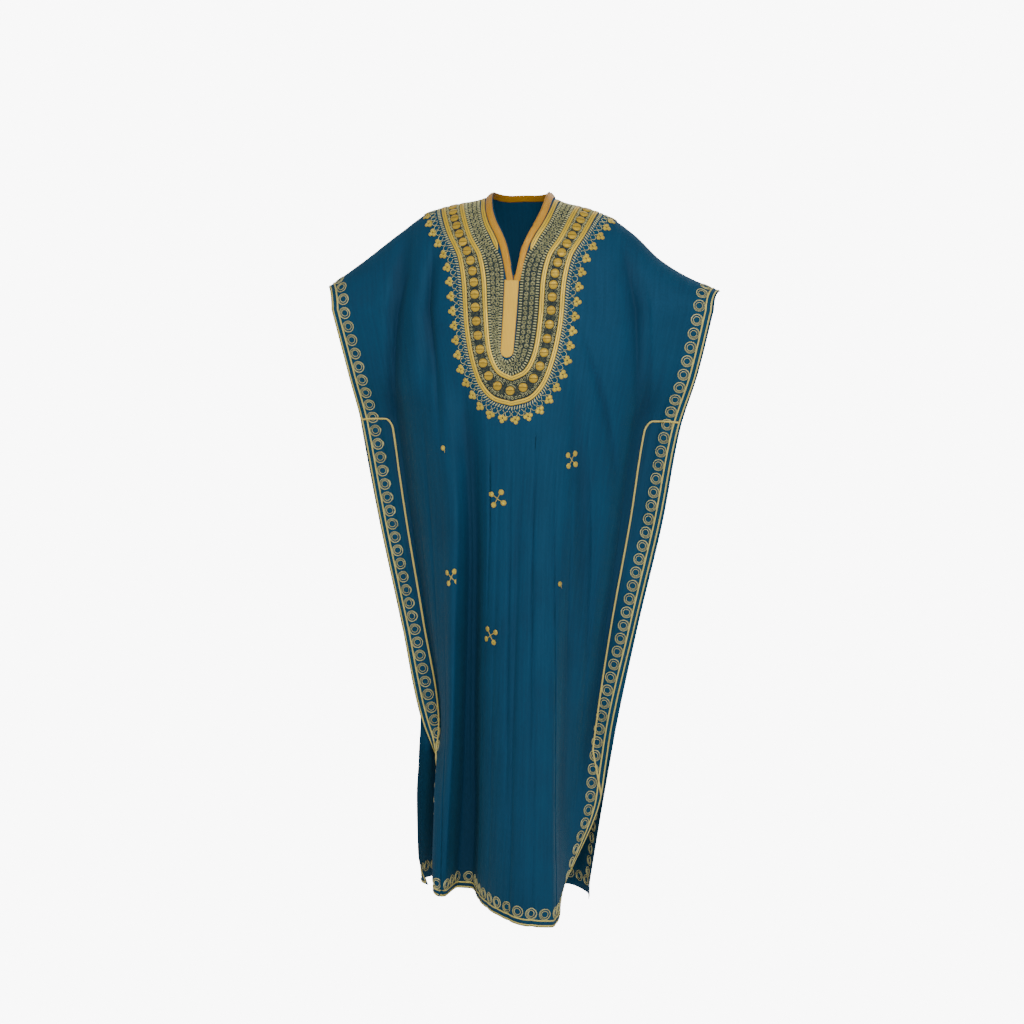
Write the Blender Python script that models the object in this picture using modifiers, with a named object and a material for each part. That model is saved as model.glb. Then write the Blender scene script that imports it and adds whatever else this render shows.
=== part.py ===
"""A moroccan kaftan, worn shape, with nobody in it.

Metres, +Z up, the front faces -Y. The origin is where the shoulders hold the garment, midway
between them. Two wide panels, front and back, meet along the shoulder line and are sewn
together down two side seams that stand in from the edges, so a double flap hangs outside
each seam and the sleeves stay open above it. Every panel is a cage of lines that run from
the shoulder to the hem, and everything sewn on a panel is made from the panel's own points.
"""

import bpy
import math

import numpy as np
from mathutils import Vector
from mathutils.bvhtree import BVHTree

CLOTH = 0.0015       # thickness of the cloth
SEAM_GAP = 0.0003    # gap between pieces that are sewn together
BRAID_THICK = 0.001
RAY_START = 0.012    # height above the cloth from which its surface is looked for
MOST_LIFT = 0.0065    # highest that a braid lies above the middle of the cloth
CHEST_Z = -0.20      # below this level the panels hang, above it they roll over the shoulders
HEM_Z = -1.33        # the cage's lowest level; each panel's hem is near it
NECK_HALF = 0.14     # half width of the neck opening, as a share of the half panel
SLEEVE_Z = -0.41     # where the sleeve ends and the side seam begins
ROLL_SHARE = 0.17    # share of a panel's length above CHEST_Z
LENGTH = 1.36        # length of a panel from the shoulder line to the hem
REACH = 0.372        # from the middle to a sleeve end
HEM_ACROSS = (-1, -0.3, 0, 0.35, 1)
FRONT_HEM = (-1.316, -1.330, -1.333, -1.347, -1.335)  # heights of the hem at HEM_ACROSS
BACK_HEM = (-1.318, -1.335, -1.350, -1.355, -1.362)
BACK_NECK = 0.055    # depth of the back of the neck, as a share of the length
PLACKET_END_Z = -0.285
SEAM_ACROSS = 0.800  # where the side seams run, as a share of the half panel
SEAM_END_Z = -1.04   # where the front seam cords turn out to the edges, above the slits
BACK_CORD_Z = -0.88  # where the back seam cords end, above the folds of the slits
EDGE_BRAIDS = (0.0035, 0.0130)  # distances of the two gold braids from an edge

# The shoulder line, from sleeve end to sleeve end. It stands up a little round the neck.
SHOULDER = {
    "x": [-0.372, -0.300, -0.230, -0.170, -0.115, -0.068, -0.052, 0.0,
          0.052, 0.068, 0.115, 0.160, 0.210, 0.260, 0.310, 0.372],
    "z": [-0.158, -0.108, -0.056, -0.017, -0.004, 0.006, 0.018, 0.045,
          0.018, 0.002, -0.012, -0.027, -0.061, -0.108, -0.139, -0.166],
}

# The right half of the neck slit's edge, from the shoulder line to its bottom, as x and z.
NECK_EDGE = [
    (0.052, 0.018), (0.047, -0.010), (0.038, -0.035), (0.025, -0.058),
    (0.015, -0.080), (0.008, -0.106), (0.0, -0.145),
]

LEVELS = [CHEST_Z, -0.32, -0.42, -0.60, -0.80, -1.00, -1.07, -1.14, -1.26, HEM_Z]

# Lines down the front: share of the panel's half width, then x and y at each level.
FRONT_LINES = [
    # name, across, x at each level, y at each level
    ("left_edge", -1.0,
     [-0.356, -0.329, -0.310, -0.279, -0.236, -0.195, -0.166, -0.138, -0.140, -0.168],
     [-0.045, -0.030, -0.002, 0.004, -0.002, -0.006, 0.000, -0.030, -0.032, -0.045]),
    ("left_flap", -0.89,
     [-0.317, -0.293, -0.278, -0.249, -0.212, -0.178, -0.163, -0.150, -0.153, -0.166],
     [-0.050, -0.035, -0.002, 0.000, -0.006, -0.004, -0.018, -0.042, -0.046, -0.062]),
    ("left_seam", -0.785,
     [-0.279, -0.259, -0.245, -0.220, -0.189, -0.160, -0.160, -0.160, -0.163, -0.160],
     [-0.055, -0.040, -0.0009, -0.0009, -0.0009, -0.0009, -0.036, -0.064, -0.070, -0.075]),
    ("left_side", -0.62,
     [-0.220, -0.205, -0.195, -0.175, -0.158, -0.146, -0.147, -0.148, -0.150, -0.151],
     [-0.066, -0.074, -0.064, -0.065, -0.062, -0.052, -0.068, -0.082, -0.086, -0.084]),
    ("ridge", -0.42,
     [-0.149, -0.125, -0.115, -0.105, -0.111, -0.118, -0.122, -0.127, -0.135, -0.139],
     [-0.092, -0.114, -0.124, -0.130, -0.120, -0.105, -0.101, -0.096, -0.082, -0.072]),
    ("trough_left", -0.34,
     [-0.120, -0.098, -0.088, -0.084, -0.092, -0.102, -0.105, -0.109, -0.118, -0.124],
     [-0.102, -0.120, -0.114, -0.098, -0.068, -0.045, -0.037, -0.030, -0.020, -0.014]),
    ("trough_right", -0.27,
     [-0.095, -0.082, -0.075, -0.071, -0.078, -0.085, -0.086, -0.087, -0.093, -0.098],
     [-0.108, -0.124, -0.118, -0.100, -0.070, -0.046, -0.038, -0.030, -0.018, -0.012]),
    ("front_left", -0.16,
     [-0.055, -0.050, -0.046, -0.044, -0.050, -0.056, -0.058, -0.060, -0.066, -0.070],
     [-0.112, -0.131, -0.136, -0.136, -0.126, -0.116, -0.113, -0.108, -0.091, -0.080]),
    ("middle", 0.0,
     [0.002, 0.003, 0.004, 0.000, -0.006, -0.012, -0.014, -0.016, -0.022, -0.026],
     [-0.112, -0.132, -0.140, -0.145, -0.150, -0.155, -0.156, -0.157, -0.150, -0.145]),
    ("front_right", 0.2,
     [0.074, 0.068, 0.062, 0.050, 0.044, 0.040, 0.038, 0.036, 0.032, 0.030],
     [-0.108, -0.128, -0.138, -0.147, -0.158, -0.169, -0.172, -0.174, -0.175, -0.176]),
    ("crease", 0.34,
     [0.124, 0.110, 0.098, 0.085, 0.081, 0.080, 0.080, 0.080, 0.081, 0.081],
     [-0.099, -0.118, -0.128, -0.137, -0.144, -0.152, -0.155, -0.158, -0.159, -0.160]),
    ("turn", 0.46,
     [0.167, 0.150, 0.136, 0.117, 0.099, 0.090, 0.088, 0.087, 0.088, 0.088],
     [-0.086, -0.100, -0.104, -0.104, -0.098, -0.098, -0.100, -0.105, -0.115, -0.122]),
    ("right_side", 0.62,
     [0.225, 0.206, 0.188, 0.165, 0.137, 0.114, 0.108, 0.103, 0.093, 0.087],
     [-0.067, -0.073, -0.064, -0.060, -0.054, -0.050, -0.054, -0.062, -0.080, -0.092]),
    ("right_seam", 0.785,
     [0.284, 0.260, 0.231, 0.204, 0.171, 0.143, 0.135, 0.127, 0.101, 0.083],
     [-0.056, -0.041, -0.0009, -0.0009, -0.0009, -0.0009, -0.014, -0.034, -0.057, -0.070]),
    ("right_flap", 0.89,
     [0.322, 0.296, 0.266, 0.235, 0.196, 0.162, 0.153, 0.143, 0.105, 0.079],
     [-0.050, -0.035, -0.002, 0.002, -0.006, -0.004, -0.010, -0.022, -0.042, -0.055]),
    ("right_edge", 1.0,
     [0.360, 0.332, 0.300, 0.267, 0.221, 0.179, 0.169, 0.158, 0.109, 0.074],
     [-0.045, -0.030, -0.002, -0.003, 0.002, -0.006, -0.009, -0.012, -0.028, -0.040]),
]

BACK_LINES = [
    ("left_edge", -1.0,
     [-0.356, -0.329, -0.312, -0.281, -0.238, -0.200, -0.200, -0.203, -0.200, -0.173],
     [0.045, 0.030, 0.002, 0.009, 0.003, 0.004, -0.014, -0.020, -0.024, -0.043]),
    ("left_flap", -0.89,
     [-0.317, -0.293, -0.278, -0.249, -0.213, -0.188, -0.194, -0.198, -0.199, -0.193],
     [0.050, 0.035, 0.002, 0.004, -0.001, 0.006, 0.001, -0.004, -0.007, -0.020]),
    ("left_seam", -0.785,
     [-0.279, -0.259, -0.245, -0.220, -0.189, -0.160, -0.186, -0.191, -0.195, -0.200],
     [0.055, 0.040, 0.0009, 0.0009, 0.0009, 0.0009, 0.012, 0.012, 0.010, 0.004]),
    ("left_side", -0.6,
     [-0.213, -0.200, -0.190, -0.172, -0.158, -0.152, -0.170, -0.182, -0.185, -0.186],
     [0.066, 0.066, 0.056, 0.052, 0.050, 0.055, 0.052, 0.046, 0.045, 0.044]),
    ("left_fold", -0.4,
     [-0.141, -0.130, -0.122, -0.112, -0.108, -0.110, -0.120, -0.132, -0.137, -0.140],
     [0.084, 0.092, 0.090, 0.088, 0.094, 0.104, 0.100, 0.096, 0.100, 0.104]),
    ("left_trough", -0.2,
     [-0.070, -0.064, -0.060, -0.056, -0.054, -0.056, -0.061, -0.066, -0.069, -0.070],
     [0.092, 0.096, 0.090, 0.084, 0.082, 0.084, 0.082, 0.080, 0.079, 0.078]),
    ("middle", 0.0,
     [0.002, 0.003, 0.003, 0.000, -0.004, -0.008, -0.011, -0.014, -0.017, -0.018],
     [0.092, 0.096, 0.094, 0.094, 0.104, 0.116, 0.118, 0.120, 0.124, 0.126]),
    ("right_trough", 0.2,
     [0.074, 0.068, 0.062, 0.054, 0.046, 0.038, 0.035, 0.032, 0.031, 0.030],
     [0.092, 0.096, 0.090, 0.084, 0.082, 0.084, 0.083, 0.082, 0.081, 0.080]),
    ("right_fold", 0.4,
     [0.146, 0.132, 0.120, 0.108, 0.098, 0.088, 0.084, 0.082, 0.081, 0.080],
     [0.084, 0.092, 0.090, 0.088, 0.094, 0.106, 0.108, 0.110, 0.113, 0.114]),
    ("right_side", 0.6,
     [0.218, 0.198, 0.180, 0.160, 0.142, 0.126, 0.121, 0.118, 0.117, 0.116],
     [0.066, 0.066, 0.054, 0.050, 0.050, 0.056, 0.061, 0.068, 0.079, 0.086]),
    ("right_seam", 0.785,
     [0.284, 0.260, 0.231, 0.204, 0.171, 0.143, 0.142, 0.141, 0.132, 0.126],
     [0.055, 0.040, 0.0009, 0.0009, 0.0009, 0.0009, 0.014, 0.034, 0.058, 0.072]),
    ("right_flap", 0.89,
     [0.322, 0.296, 0.266, 0.235, 0.197, 0.164, 0.158, 0.152, 0.137, 0.128],
     [0.050, 0.035, 0.002, 0.006, -0.001, 0.004, 0.012, 0.024, 0.046, 0.060]),
    ("right_edge", 1.0,
     [0.360, 0.332, 0.302, 0.270, 0.225, 0.185, 0.173, 0.161, 0.141, 0.129],
     [0.045, 0.030, 0.002, 0.003, 0.007, 0.004, 0.006, 0.012, 0.033, 0.048]),
]

# Smaller folds: share across at the top and bottom, top and bottom height, half width as a
# share, and depth, which is positive for a trough and negative for a ridge.
FRONT_FOLDS = [
    # name, across top, across bottom, z top, z bottom, half width, depth
    ("left_shoulder", -0.55, -0.74, -0.02, -0.40, 0.050, 0.012),
    ("left_roll", -0.49, -0.62, -0.06, -0.46, 0.050, -0.006),
    ("beside_yoke", -0.40, -0.54, -0.06, -0.36, 0.036, 0.008),
    ("left_hip", -0.53, -0.52, -0.45, -1.02, 0.050, 0.006),
    ("right_shoulder", 0.52, 0.70, -0.04, -0.38, 0.050, 0.010),
    ("right_breast", 0.34, 0.60, -0.28, -0.84, 0.045, 0.010),
    ("right_hip", 0.47, 0.71, -0.30, -0.60, 0.035, 0.006),
    ("middle_drop", 0.04, 0.06, -0.40, -1.26, 0.040, 0.004),
]
BACK_FOLDS = [
    ("left_shoulder", -0.52, -0.70, -0.04, -0.40, 0.050, -0.010),
    ("right_shoulder", 0.50, 0.68, -0.04, -0.40, 0.050, -0.010),
    ("left_blade", -0.30, -0.48, -0.24, -0.90, 0.050, -0.008),
    ("right_blade", 0.28, 0.50, -0.24, -0.90, 0.050, -0.008),
]

# Half of each yoke braid's outline from the shoulder line to the middle, as x and z.
YOKE_INNER = [
    (0.112, 0.000), (0.085, -0.066), (0.063, -0.104), (0.054, -0.150), (0.051, -0.205),
    (0.043, -0.272), (0.024, -0.312), (0.000, -0.324),
]
YOKE_OUTER = [
    (0.150, 0.000), (0.124, -0.060), (0.100, -0.106), (0.091, -0.155), (0.087, -0.215),
    (0.077, -0.275), (0.056, -0.335), (0.030, -0.361), (0.000, -0.369),
]

# Colours as linear red, green and blue, then roughness and metallic value.
CLOTH_LOOK = ((0.006, 0.062, 0.125), 0.75, 0.0)
GOLD_LOOK = ((0.60, 0.40, 0.13), 0.45, 0.4)
SATIN_LOOK = ((0.62, 0.33, 0.05), 0.40, 0.3)
CORD_LOOK = ((0.62, 0.46, 0.22), 0.60, 0.1)


def slopes(knots, values):
    """Slopes at the knots of a curve through the values that never overshoots them."""
    step = np.diff(knots).reshape((-1,) + (1,) * (values.ndim - 1))
    rise = np.diff(values, axis=0) / step
    level = rise[:-1] * rise[1:] <= 0
    before = np.where(level, 1.0, rise[:-1])
    after = np.where(level, 1.0, rise[1:])
    weight_before = 2 * step[1:] + step[:-1]
    weight_after = step[1:] + 2 * step[:-1]
    blend = (weight_before + weight_after) / (weight_before / before + weight_after / after)
    return np.concatenate([rise[:1], np.where(level, 0.0, blend), rise[-1:]])


def smooth_curve(knots, values, where):
    """Reads a smooth curve through the values, a row for each knot, at the places given."""
    knots = np.asarray(knots, float)
    values = np.asarray(values, float)
    where = np.clip(np.asarray(where, float), knots[0], knots[-1])
    cell = np.clip(np.searchsorted(knots, where) - 1, 0, len(knots) - 2)
    slope = slopes(knots, values)
    pick = np.arange(len(where)) if values.ndim == 3 else slice(None)
    corner = (cell, pick) if values.ndim == 3 else cell
    other = (cell + 1, pick) if values.ndim == 3 else cell + 1
    width = (knots[cell + 1] - knots[cell])[:, None]
    t = (where - knots[cell])[:, None] / width
    start = values[corner] * (1 + 2 * t) * (1 - t) ** 2 + slope[corner] * width * t * (1 - t) ** 2
    end = values[other] * t * t * (3 - 2 * t) + slope[other] * width * t * t * (t - 1)
    return start + end


def shoulder_height(x):
    """Height of the shoulder line at a distance from the middle."""
    found = smooth_curve(SHOULDER["x"], np.array(SHOULDER["z"])[:, None], np.atleast_1d(x))[:, 0]
    return found if np.ndim(x) else float(found[0])


class Panel:
    """One panel of cloth: place() gives its points from a share across and a share down."""

    def __init__(self, lines, folds, side, hem):
        self.side = side
        self.hem = hem
        self.folds = folds
        self.across = [line[1] for line in lines]
        self.cage = np.array([[line[2], line[3]] for line in lines])

    def fold_depth(self, u, z):
        depth = np.zeros_like(u)
        for _, top, bottom, z_top, z_bottom, half, deep in self.folds:
            along = np.clip((z_top - z) / (z_top - z_bottom), 0, 1)
            centre = top + (bottom - top) * along
            depth += deep * np.sin(math.pi * along) ** 0.7 * np.exp(-(((u - centre) / half) ** 2))
        return depth

    def hang(self, u, z):
        """x and y of the hanging part, at the chest or below it."""
        levels = np.array(LEVELS[::-1])
        table = self.cage[:, :, ::-1].transpose(2, 0, 1).reshape(len(levels), -1)
        at_z = smooth_curve(levels, table, z).reshape(len(z), len(self.across), 2)
        return smooth_curve(self.across, at_z.transpose(1, 0, 2), u)

    def place(self, u, v):
        """Points at share u across, -1 to 1, and share v down, 0 at the shoulder line."""
        u = np.atleast_1d(np.asarray(u, float))
        v = np.atleast_1d(np.asarray(v, float))
        u, v = np.broadcast_arrays(u, v)
        roll = np.clip(v / ROLL_SHARE, 0, 1) * math.pi / 2
        below = np.clip((v - ROLL_SHARE) / (1 - ROLL_SHARE), 0, 1)
        chest = CHEST_Z + (np.interp(u, HEM_ACROSS, self.hem) - CHEST_Z) * below
        at = self.hang(u, chest)
        ridge_x = REACH * u
        ridge_z = shoulder_height(ridge_x)
        x = ridge_x + (at[:, 0] - ridge_x) * np.sin(roll)
        z = np.where(v < ROLL_SHARE, ridge_z + (CHEST_Z - ridge_z) * (1 - np.cos(roll)), chest)
        y = at[:, 1] * np.sin(roll) + self.fold_depth(u, z) * np.sin(roll)
        return np.stack([x, y + self.side * SEAM_GAP, z], axis=1)

    def down(self, u, z):
        """The share down at which the line u reaches height z."""
        ridge = shoulder_height(REACH * u)
        if z > CHEST_Z:
            turn = math.acos(1 - max(ridge - z, 0) / (ridge - CHEST_Z))
            return ROLL_SHARE * turn / (math.pi / 2)
        hem = np.interp(u, HEM_ACROSS, self.hem)
        return ROLL_SHARE + (1 - ROLL_SHARE) * (CHEST_Z - z) / (CHEST_Z - hem)

    def outward(self, u, v):
        """Unit normals on the side that faces away from the hollow."""
        step = 0.004
        across = self.place(np.clip(u + step, -1, 1), v) - self.place(np.clip(u - step, -1, 1), v)
        along = self.place(u, np.clip(v + step, 0, 1)) - self.place(u, np.clip(v - step, 0, 1))
        normal = np.cross(along, across) * self.side * -1
        return normal / np.linalg.norm(normal, axis=1)[:, None]


FRONT = Panel(FRONT_LINES, FRONT_FOLDS, -1, FRONT_HEM)
BACK = Panel(BACK_LINES, BACK_FOLDS, 1, BACK_HEM)


def neck_start(panel, u):
    """How far down a panel starts at share u across, which cuts the neck opening."""
    if abs(u) >= NECK_HALF:
        return 0.0
    if panel.side > 0:
        return BACK_NECK * math.sqrt(1 - (u / NECK_HALF) ** 2)
    edge = sorted(NECK_EDGE)
    return panel.down(u, np.interp(abs(u) * REACH, [x for x, _ in edge], [z for _, z in edge]))


def columns(panel):
    """Shares across of the panel's grid: each line of its cage and the middles between."""
    neck = [sign * share for sign in (-1, 1) for share in (0.028, 0.066, NECK_HALF)]
    lines = sorted(set(panel.across) | set(neck))
    kept = [u for u in lines if u in neck or min(abs(u - n) for n in neck) > 0.02]
    wide = [(a + b) / 2 for a, b in zip(kept, kept[1:]) if b - a > 0.09]
    return sorted(kept + wide)


def rows():
    """Shares down of the panel's grid, closer together where it rolls over the shoulders."""
    rolled = [ROLL_SHARE * k / 5 for k in range(5)]
    hung = [ROLL_SHARE + (1 - ROLL_SHARE) * k / 16 for k in range(17)]
    return rolled + hung


def look(name, colour, rough, metal):
    material = bpy.data.materials.new(name)
    material.use_nodes = True
    shader = material.node_tree.nodes["Principled BSDF"]
    shader.inputs["Base Color"].default_value = (*colour, 1)
    shader.inputs["Roughness"].default_value = rough
    shader.inputs["Metallic"].default_value = metal
    material.diffuse_color = (*colour, 1)
    return material


def add_piece(name, points, faces, look_values):
    mesh = bpy.data.meshes.new(name)
    mesh.from_pydata([Vector(p) for p in points], [], faces)
    mesh.shade_smooth()
    mesh.materials.append(look(name, *look_values))
    piece = bpy.data.objects.new(name, mesh)
    KAFTAN.objects.link(piece)
    return piece


def add_panel(name, panel):
    """A panel of cloth: an open grid of quads, thickened by a Solidify modifier."""
    across = columns(panel)
    down = rows()
    starts = [neck_start(panel, u) for u in across]
    u = np.array([a for _ in down for a in across])
    v = np.array([s + (1 - s) * d for d in down for s in starts])
    points = panel.place(u, v)
    wide = len(across)
    faces = []
    for i in range(len(down) - 1):
        for j in range(wide - 1):
            corner = i * wide + j
            quad = (corner, corner + 1, corner + wide + 1, corner + wide)
            faces.append(quad[::-1] if panel.side < 0 else quad)
    piece = add_piece(name, points, faces, CLOTH_LOOK)
    wall = piece.modifiers.new("thickness", "SOLIDIFY")
    wall.thickness = CLOTH
    wall.offset = 0
    return piece


def panel_surface(pieces):
    """The walls of some panels as one surface that rays can be cast on."""
    graph = bpy.context.evaluated_depsgraph_get()
    corners = []
    faces = []
    for piece in pieces:
        mesh = piece.evaluated_get(graph).to_mesh()
        mesh.calc_loop_triangles()
        first = len(corners)
        corners += [vertex.co.copy() for vertex in mesh.vertices]
        faces += [[first + i for i in triangle.vertices] for triangle in mesh.loop_triangles]
    return BVHTree.FromPolygons(corners, faces)


def settled_lift(surface, centre, normal, sideways, widths, closed):
    """How high a braid lies at each station, so that it clears the cloth by the seam gap."""
    count = len(centre)
    lift = np.full(count, CLOTH / 2 + SEAM_GAP)
    for _ in range(3):
        raised = lift.copy()
        for i in range(count if closed else count - 1):
            j = (i + 1) % count
            for t, across in [(k / 10, a) for k in range(11) for a in (-0.5, -0.25, 0, 0.25, 0.5)]:
                up = normal[i] * (1 - t) + normal[j] * t
                low = (centre[i] + normal[i] * lift[i]) * (1 - t) + (centre[j] + normal[j] * lift[j]) * t
                low = low + (sideways[i] * (1 - t) + sideways[j] * t) * across * widths[i]
                start = Vector(low + up * RAY_START)
                hit = surface.ray_cast(start, Vector(-up), 2 * RAY_START)[3]
                if hit is not None:
                    short = SEAM_GAP - (hit - RAY_START)
                    raised[i] = max(raised[i], lift[i] + short)
                    raised[j] = max(raised[j], lift[j] + short)
        lift = np.minimum(raised, MOST_LIFT)
    return lift


def add_ribbon(name, path, width, look_values, thick=BRAID_THICK, closed=False):
    """A flat braid sewn on along a path of (panel, share across, share down)."""
    centre = np.array([panel.place(u, v)[0] for panel, u, v in path])
    normal = np.array([panel.outward(u, v)[0] for panel, u, v in path])
    if closed:
        along = np.roll(centre, -1, axis=0) - np.roll(centre, 1, axis=0)
    else:
        along = np.gradient(centre, axis=0)
    sideways = np.cross(normal, along)
    sideways /= np.linalg.norm(sideways, axis=1)[:, None]
    widths = np.broadcast_to(width, len(path))
    own = {panel.side for panel, _, _ in path}
    surface = SURFACES[own.pop() if len(own) == 1 else 0]
    lift = settled_lift(surface, centre, normal, sideways, widths, closed)
    points = []
    for at, up, out, wide, low in zip(centre, normal, sideways, widths, lift):
        for half, height in ((-1, low), (1, low), (1, low + thick), (-1, low + thick)):
            points.append(at + out * half * wide / 2 + up * height)
    count = len(path)
    faces = []
    for i in range(count if closed else count - 1):
        j = (i + 1) % count
        for k in range(4):
            after = (k + 1) % 4
            a, b, c, d = 4 * i + k, 4 * i + after, 4 * j + after, 4 * j + k
            # the upper face is split along the same diagonal as the lower one, so that
            # the two stay apart where the braid turns
            faces += [(a, b, d), (b, c, d)] if k == 2 else [(a, b, c), (a, c, d)]
    if not closed:
        last = 4 * (count - 1)
        faces.append((3, 2, 1, 0))
        faces.append((last, last + 1, last + 2, last + 3))
    return add_piece(name, points, faces, look_values)


def spot(panel, x, z):
    """The place on a panel that is seen at x and z from the front, as (panel, across, down)."""
    if z >= shoulder_height(x):
        return (panel, x / REACH, 0.0)
    near = np.linspace(max(x / REACH - 0.1, -1), min(x / REACH + 0.1, 1), 201)
    near = near[shoulder_height(REACH * near) >= z]
    v = np.array([panel.down(u, z) for u in near])
    best = int(abs(panel.place(near, v)[:, 0] - x).argmin())
    return (panel, near[best], v[best])


def half_outline(corners, count):
    """count + 1 evenly spaced spots along a smooth curve through half an outline's corners."""
    knots = np.arange(len(corners))
    fine = smooth_curve(knots, corners, np.linspace(0, len(corners) - 1, 300))
    length = np.concatenate([[0], np.cumsum(np.linalg.norm(np.diff(fine, axis=0), axis=1))])
    even = np.linspace(0, length[-1], count + 1)
    return np.stack([np.interp(even, length, fine[:, i]) for i in range(2)], axis=1)


def yoke_loop(corners, back_drop, count):
    """A loop round the neck: an outline's half mirrored on the front, an arc on the back."""
    half = half_outline(corners, count)
    right = [spot(FRONT, x, z) for x, z in half]
    left = [spot(FRONT, -x, z) for x, z in half[:-1][::-1]]
    reach = abs(right[0][1])
    arc = [math.pi * k / 14 for k in range(1, 14)]
    back = [(BACK, -reach * math.cos(a), back_drop * math.sin(a)) for a in arc]
    return right + left + back


def neck_path(away, low_z):
    """Round the neck at a distance from its edge, down each side of the slit to a height."""
    edge = half_outline(NECK_EDGE, 24)
    along = np.gradient(edge, axis=0)
    along /= np.linalg.norm(along, axis=1)[:, None]
    beside = [(x - dz * away, z + dx * away) for (x, z), (dx, dz) in zip(edge, along)]
    seen = [(x, z) for x, z in beside if low_z <= z < shoulder_height(x) - 0.002][::2]
    right = [(FRONT, NECK_HALF + away / REACH, 0.0)] + [spot(FRONT, x, z) for x, z in seen]
    left = [spot(FRONT, -x, z) for x, z in seen][::-1] + [(FRONT, -NECK_HALF - away / REACH, 0.0)]
    arc = [math.pi * k / 12 for k in range(1, 12)]
    reach = NECK_HALF + away / REACH
    back = [(BACK, -reach * math.cos(a), (BACK_NECK + away / LENGTH) * math.sin(a)) for a in arc]
    return left + back + right


def inset(panel, sign, v, away):
    """The share across that lies a distance in from a side edge."""
    scale = np.linalg.norm(panel.place(sign, v) - panel.place(sign * 0.97, v)) / 0.03
    return sign * (1 - away / scale)


def edge_path(panel, away):
    """Down one side edge, along the hem and up the other, a distance from the edge."""
    drop = 1 - away / LENGTH
    sides = [v for v in rows() if v < drop]
    sides[0] = 0.003
    sides.append(drop)
    left = [(panel, inset(panel, -1, v, away), v) for v in sides]
    right = [(panel, inset(panel, 1, v, away), v) for v in sides[::-1]]
    hem = [(panel, u, drop) for u in columns(panel) if left[-1][1] < u < right[0][1]]
    return left + hem + right


def cord_path(panel, sign):
    """The seam cord: in from the sleeve end, round a corner and down to the slit."""
    start = inset(panel, sign, panel.down(sign, SLEEVE_Z), EDGE_BRAIDS[1] + 0.0045)
    seam = sign * SEAM_ACROSS
    corner = sign * (SEAM_ACROSS + 0.035)
    end_z = SEAM_END_Z if panel.side < 0 else BACK_CORD_Z
    path = [(start, SLEEVE_Z), ((start + corner) / 2, SLEEVE_Z + 0.002), (corner, SLEEVE_Z + 0.002)]
    path += [(sign * (SEAM_ACROSS + 0.010), SLEEVE_Z - 0.004), (seam, SLEEVE_Z - 0.015)]
    hem = np.interp(seam, HEM_ACROSS, panel.hem)
    hung = [CHEST_Z + (hem - CHEST_Z) * k / 16 for k in range(1, 16)]
    path += [(seam, z) for z in hung if end_z + 0.02 < z < SLEEVE_Z - 0.03]
    path.append((seam, end_z))
    if panel.side < 0:
        out_z = end_z - 0.055
        path.append((inset(panel, sign, panel.down(sign, out_z), EDGE_BRAIDS[1] + 0.0085), out_z))
    return [(panel, u, panel.down(u, z)) for u, z in path]


for old in list(bpy.data.objects):
    bpy.data.objects.remove(old, do_unlink=True)

KAFTAN = bpy.data.collections.new("moroccan_kaftan")
bpy.context.scene.collection.children.link(KAFTAN)

front = add_panel("front_panel", FRONT)
back = add_panel("back_panel", BACK)
SURFACES = {-1: panel_surface([front]), 1: panel_surface([back]), 0: panel_surface([front, back])}
add_ribbon("neckband", neck_path(0.0065, -0.146), 0.012, SATIN_LOOK)
add_ribbon("neck_braid", neck_path(0.0180, -0.092), 0.009, GOLD_LOOK)

placket_z = np.linspace(NECK_EDGE[-1][1] - 0.005, PLACKET_END_Z, 9)
placket_x = np.linspace(-0.003, -0.010, 9)
placket_wide = [0.027, 0.027, 0.0265, 0.026, 0.0255, 0.025, 0.0245, 0.022, 0.012]
placket = [spot(FRONT, x, z) for x, z in zip(placket_x, placket_z)]
add_ribbon("placket", placket, placket_wide, GOLD_LOOK)
add_ribbon("yoke_braid_inner", yoke_loop(YOKE_INNER, 0.075, 26), 0.009, GOLD_LOOK, closed=True)
add_ribbon("yoke_braid_outer", yoke_loop(YOKE_OUTER, 0.105, 30), 0.009, GOLD_LOOK, closed=True)
for panel, face in ((FRONT, "front"), (BACK, "back")):
    for away, line in zip(EDGE_BRAIDS, ("outer", "inner")):
        add_ribbon(f"edge_braid_{face}_{line}", edge_path(panel, away), 0.0035, GOLD_LOOK)
    for sign, hand in ((-1, "left"), (1, "right")):
        add_ribbon(f"seam_cord_{face}_{hand}", cord_path(panel, sign), 0.004, CORD_LOOK, 0.002)
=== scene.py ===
import math

import bmesh
import bpy
import numpy as np
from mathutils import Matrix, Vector
from mathutils.bvhtree import BVHTree


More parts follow.
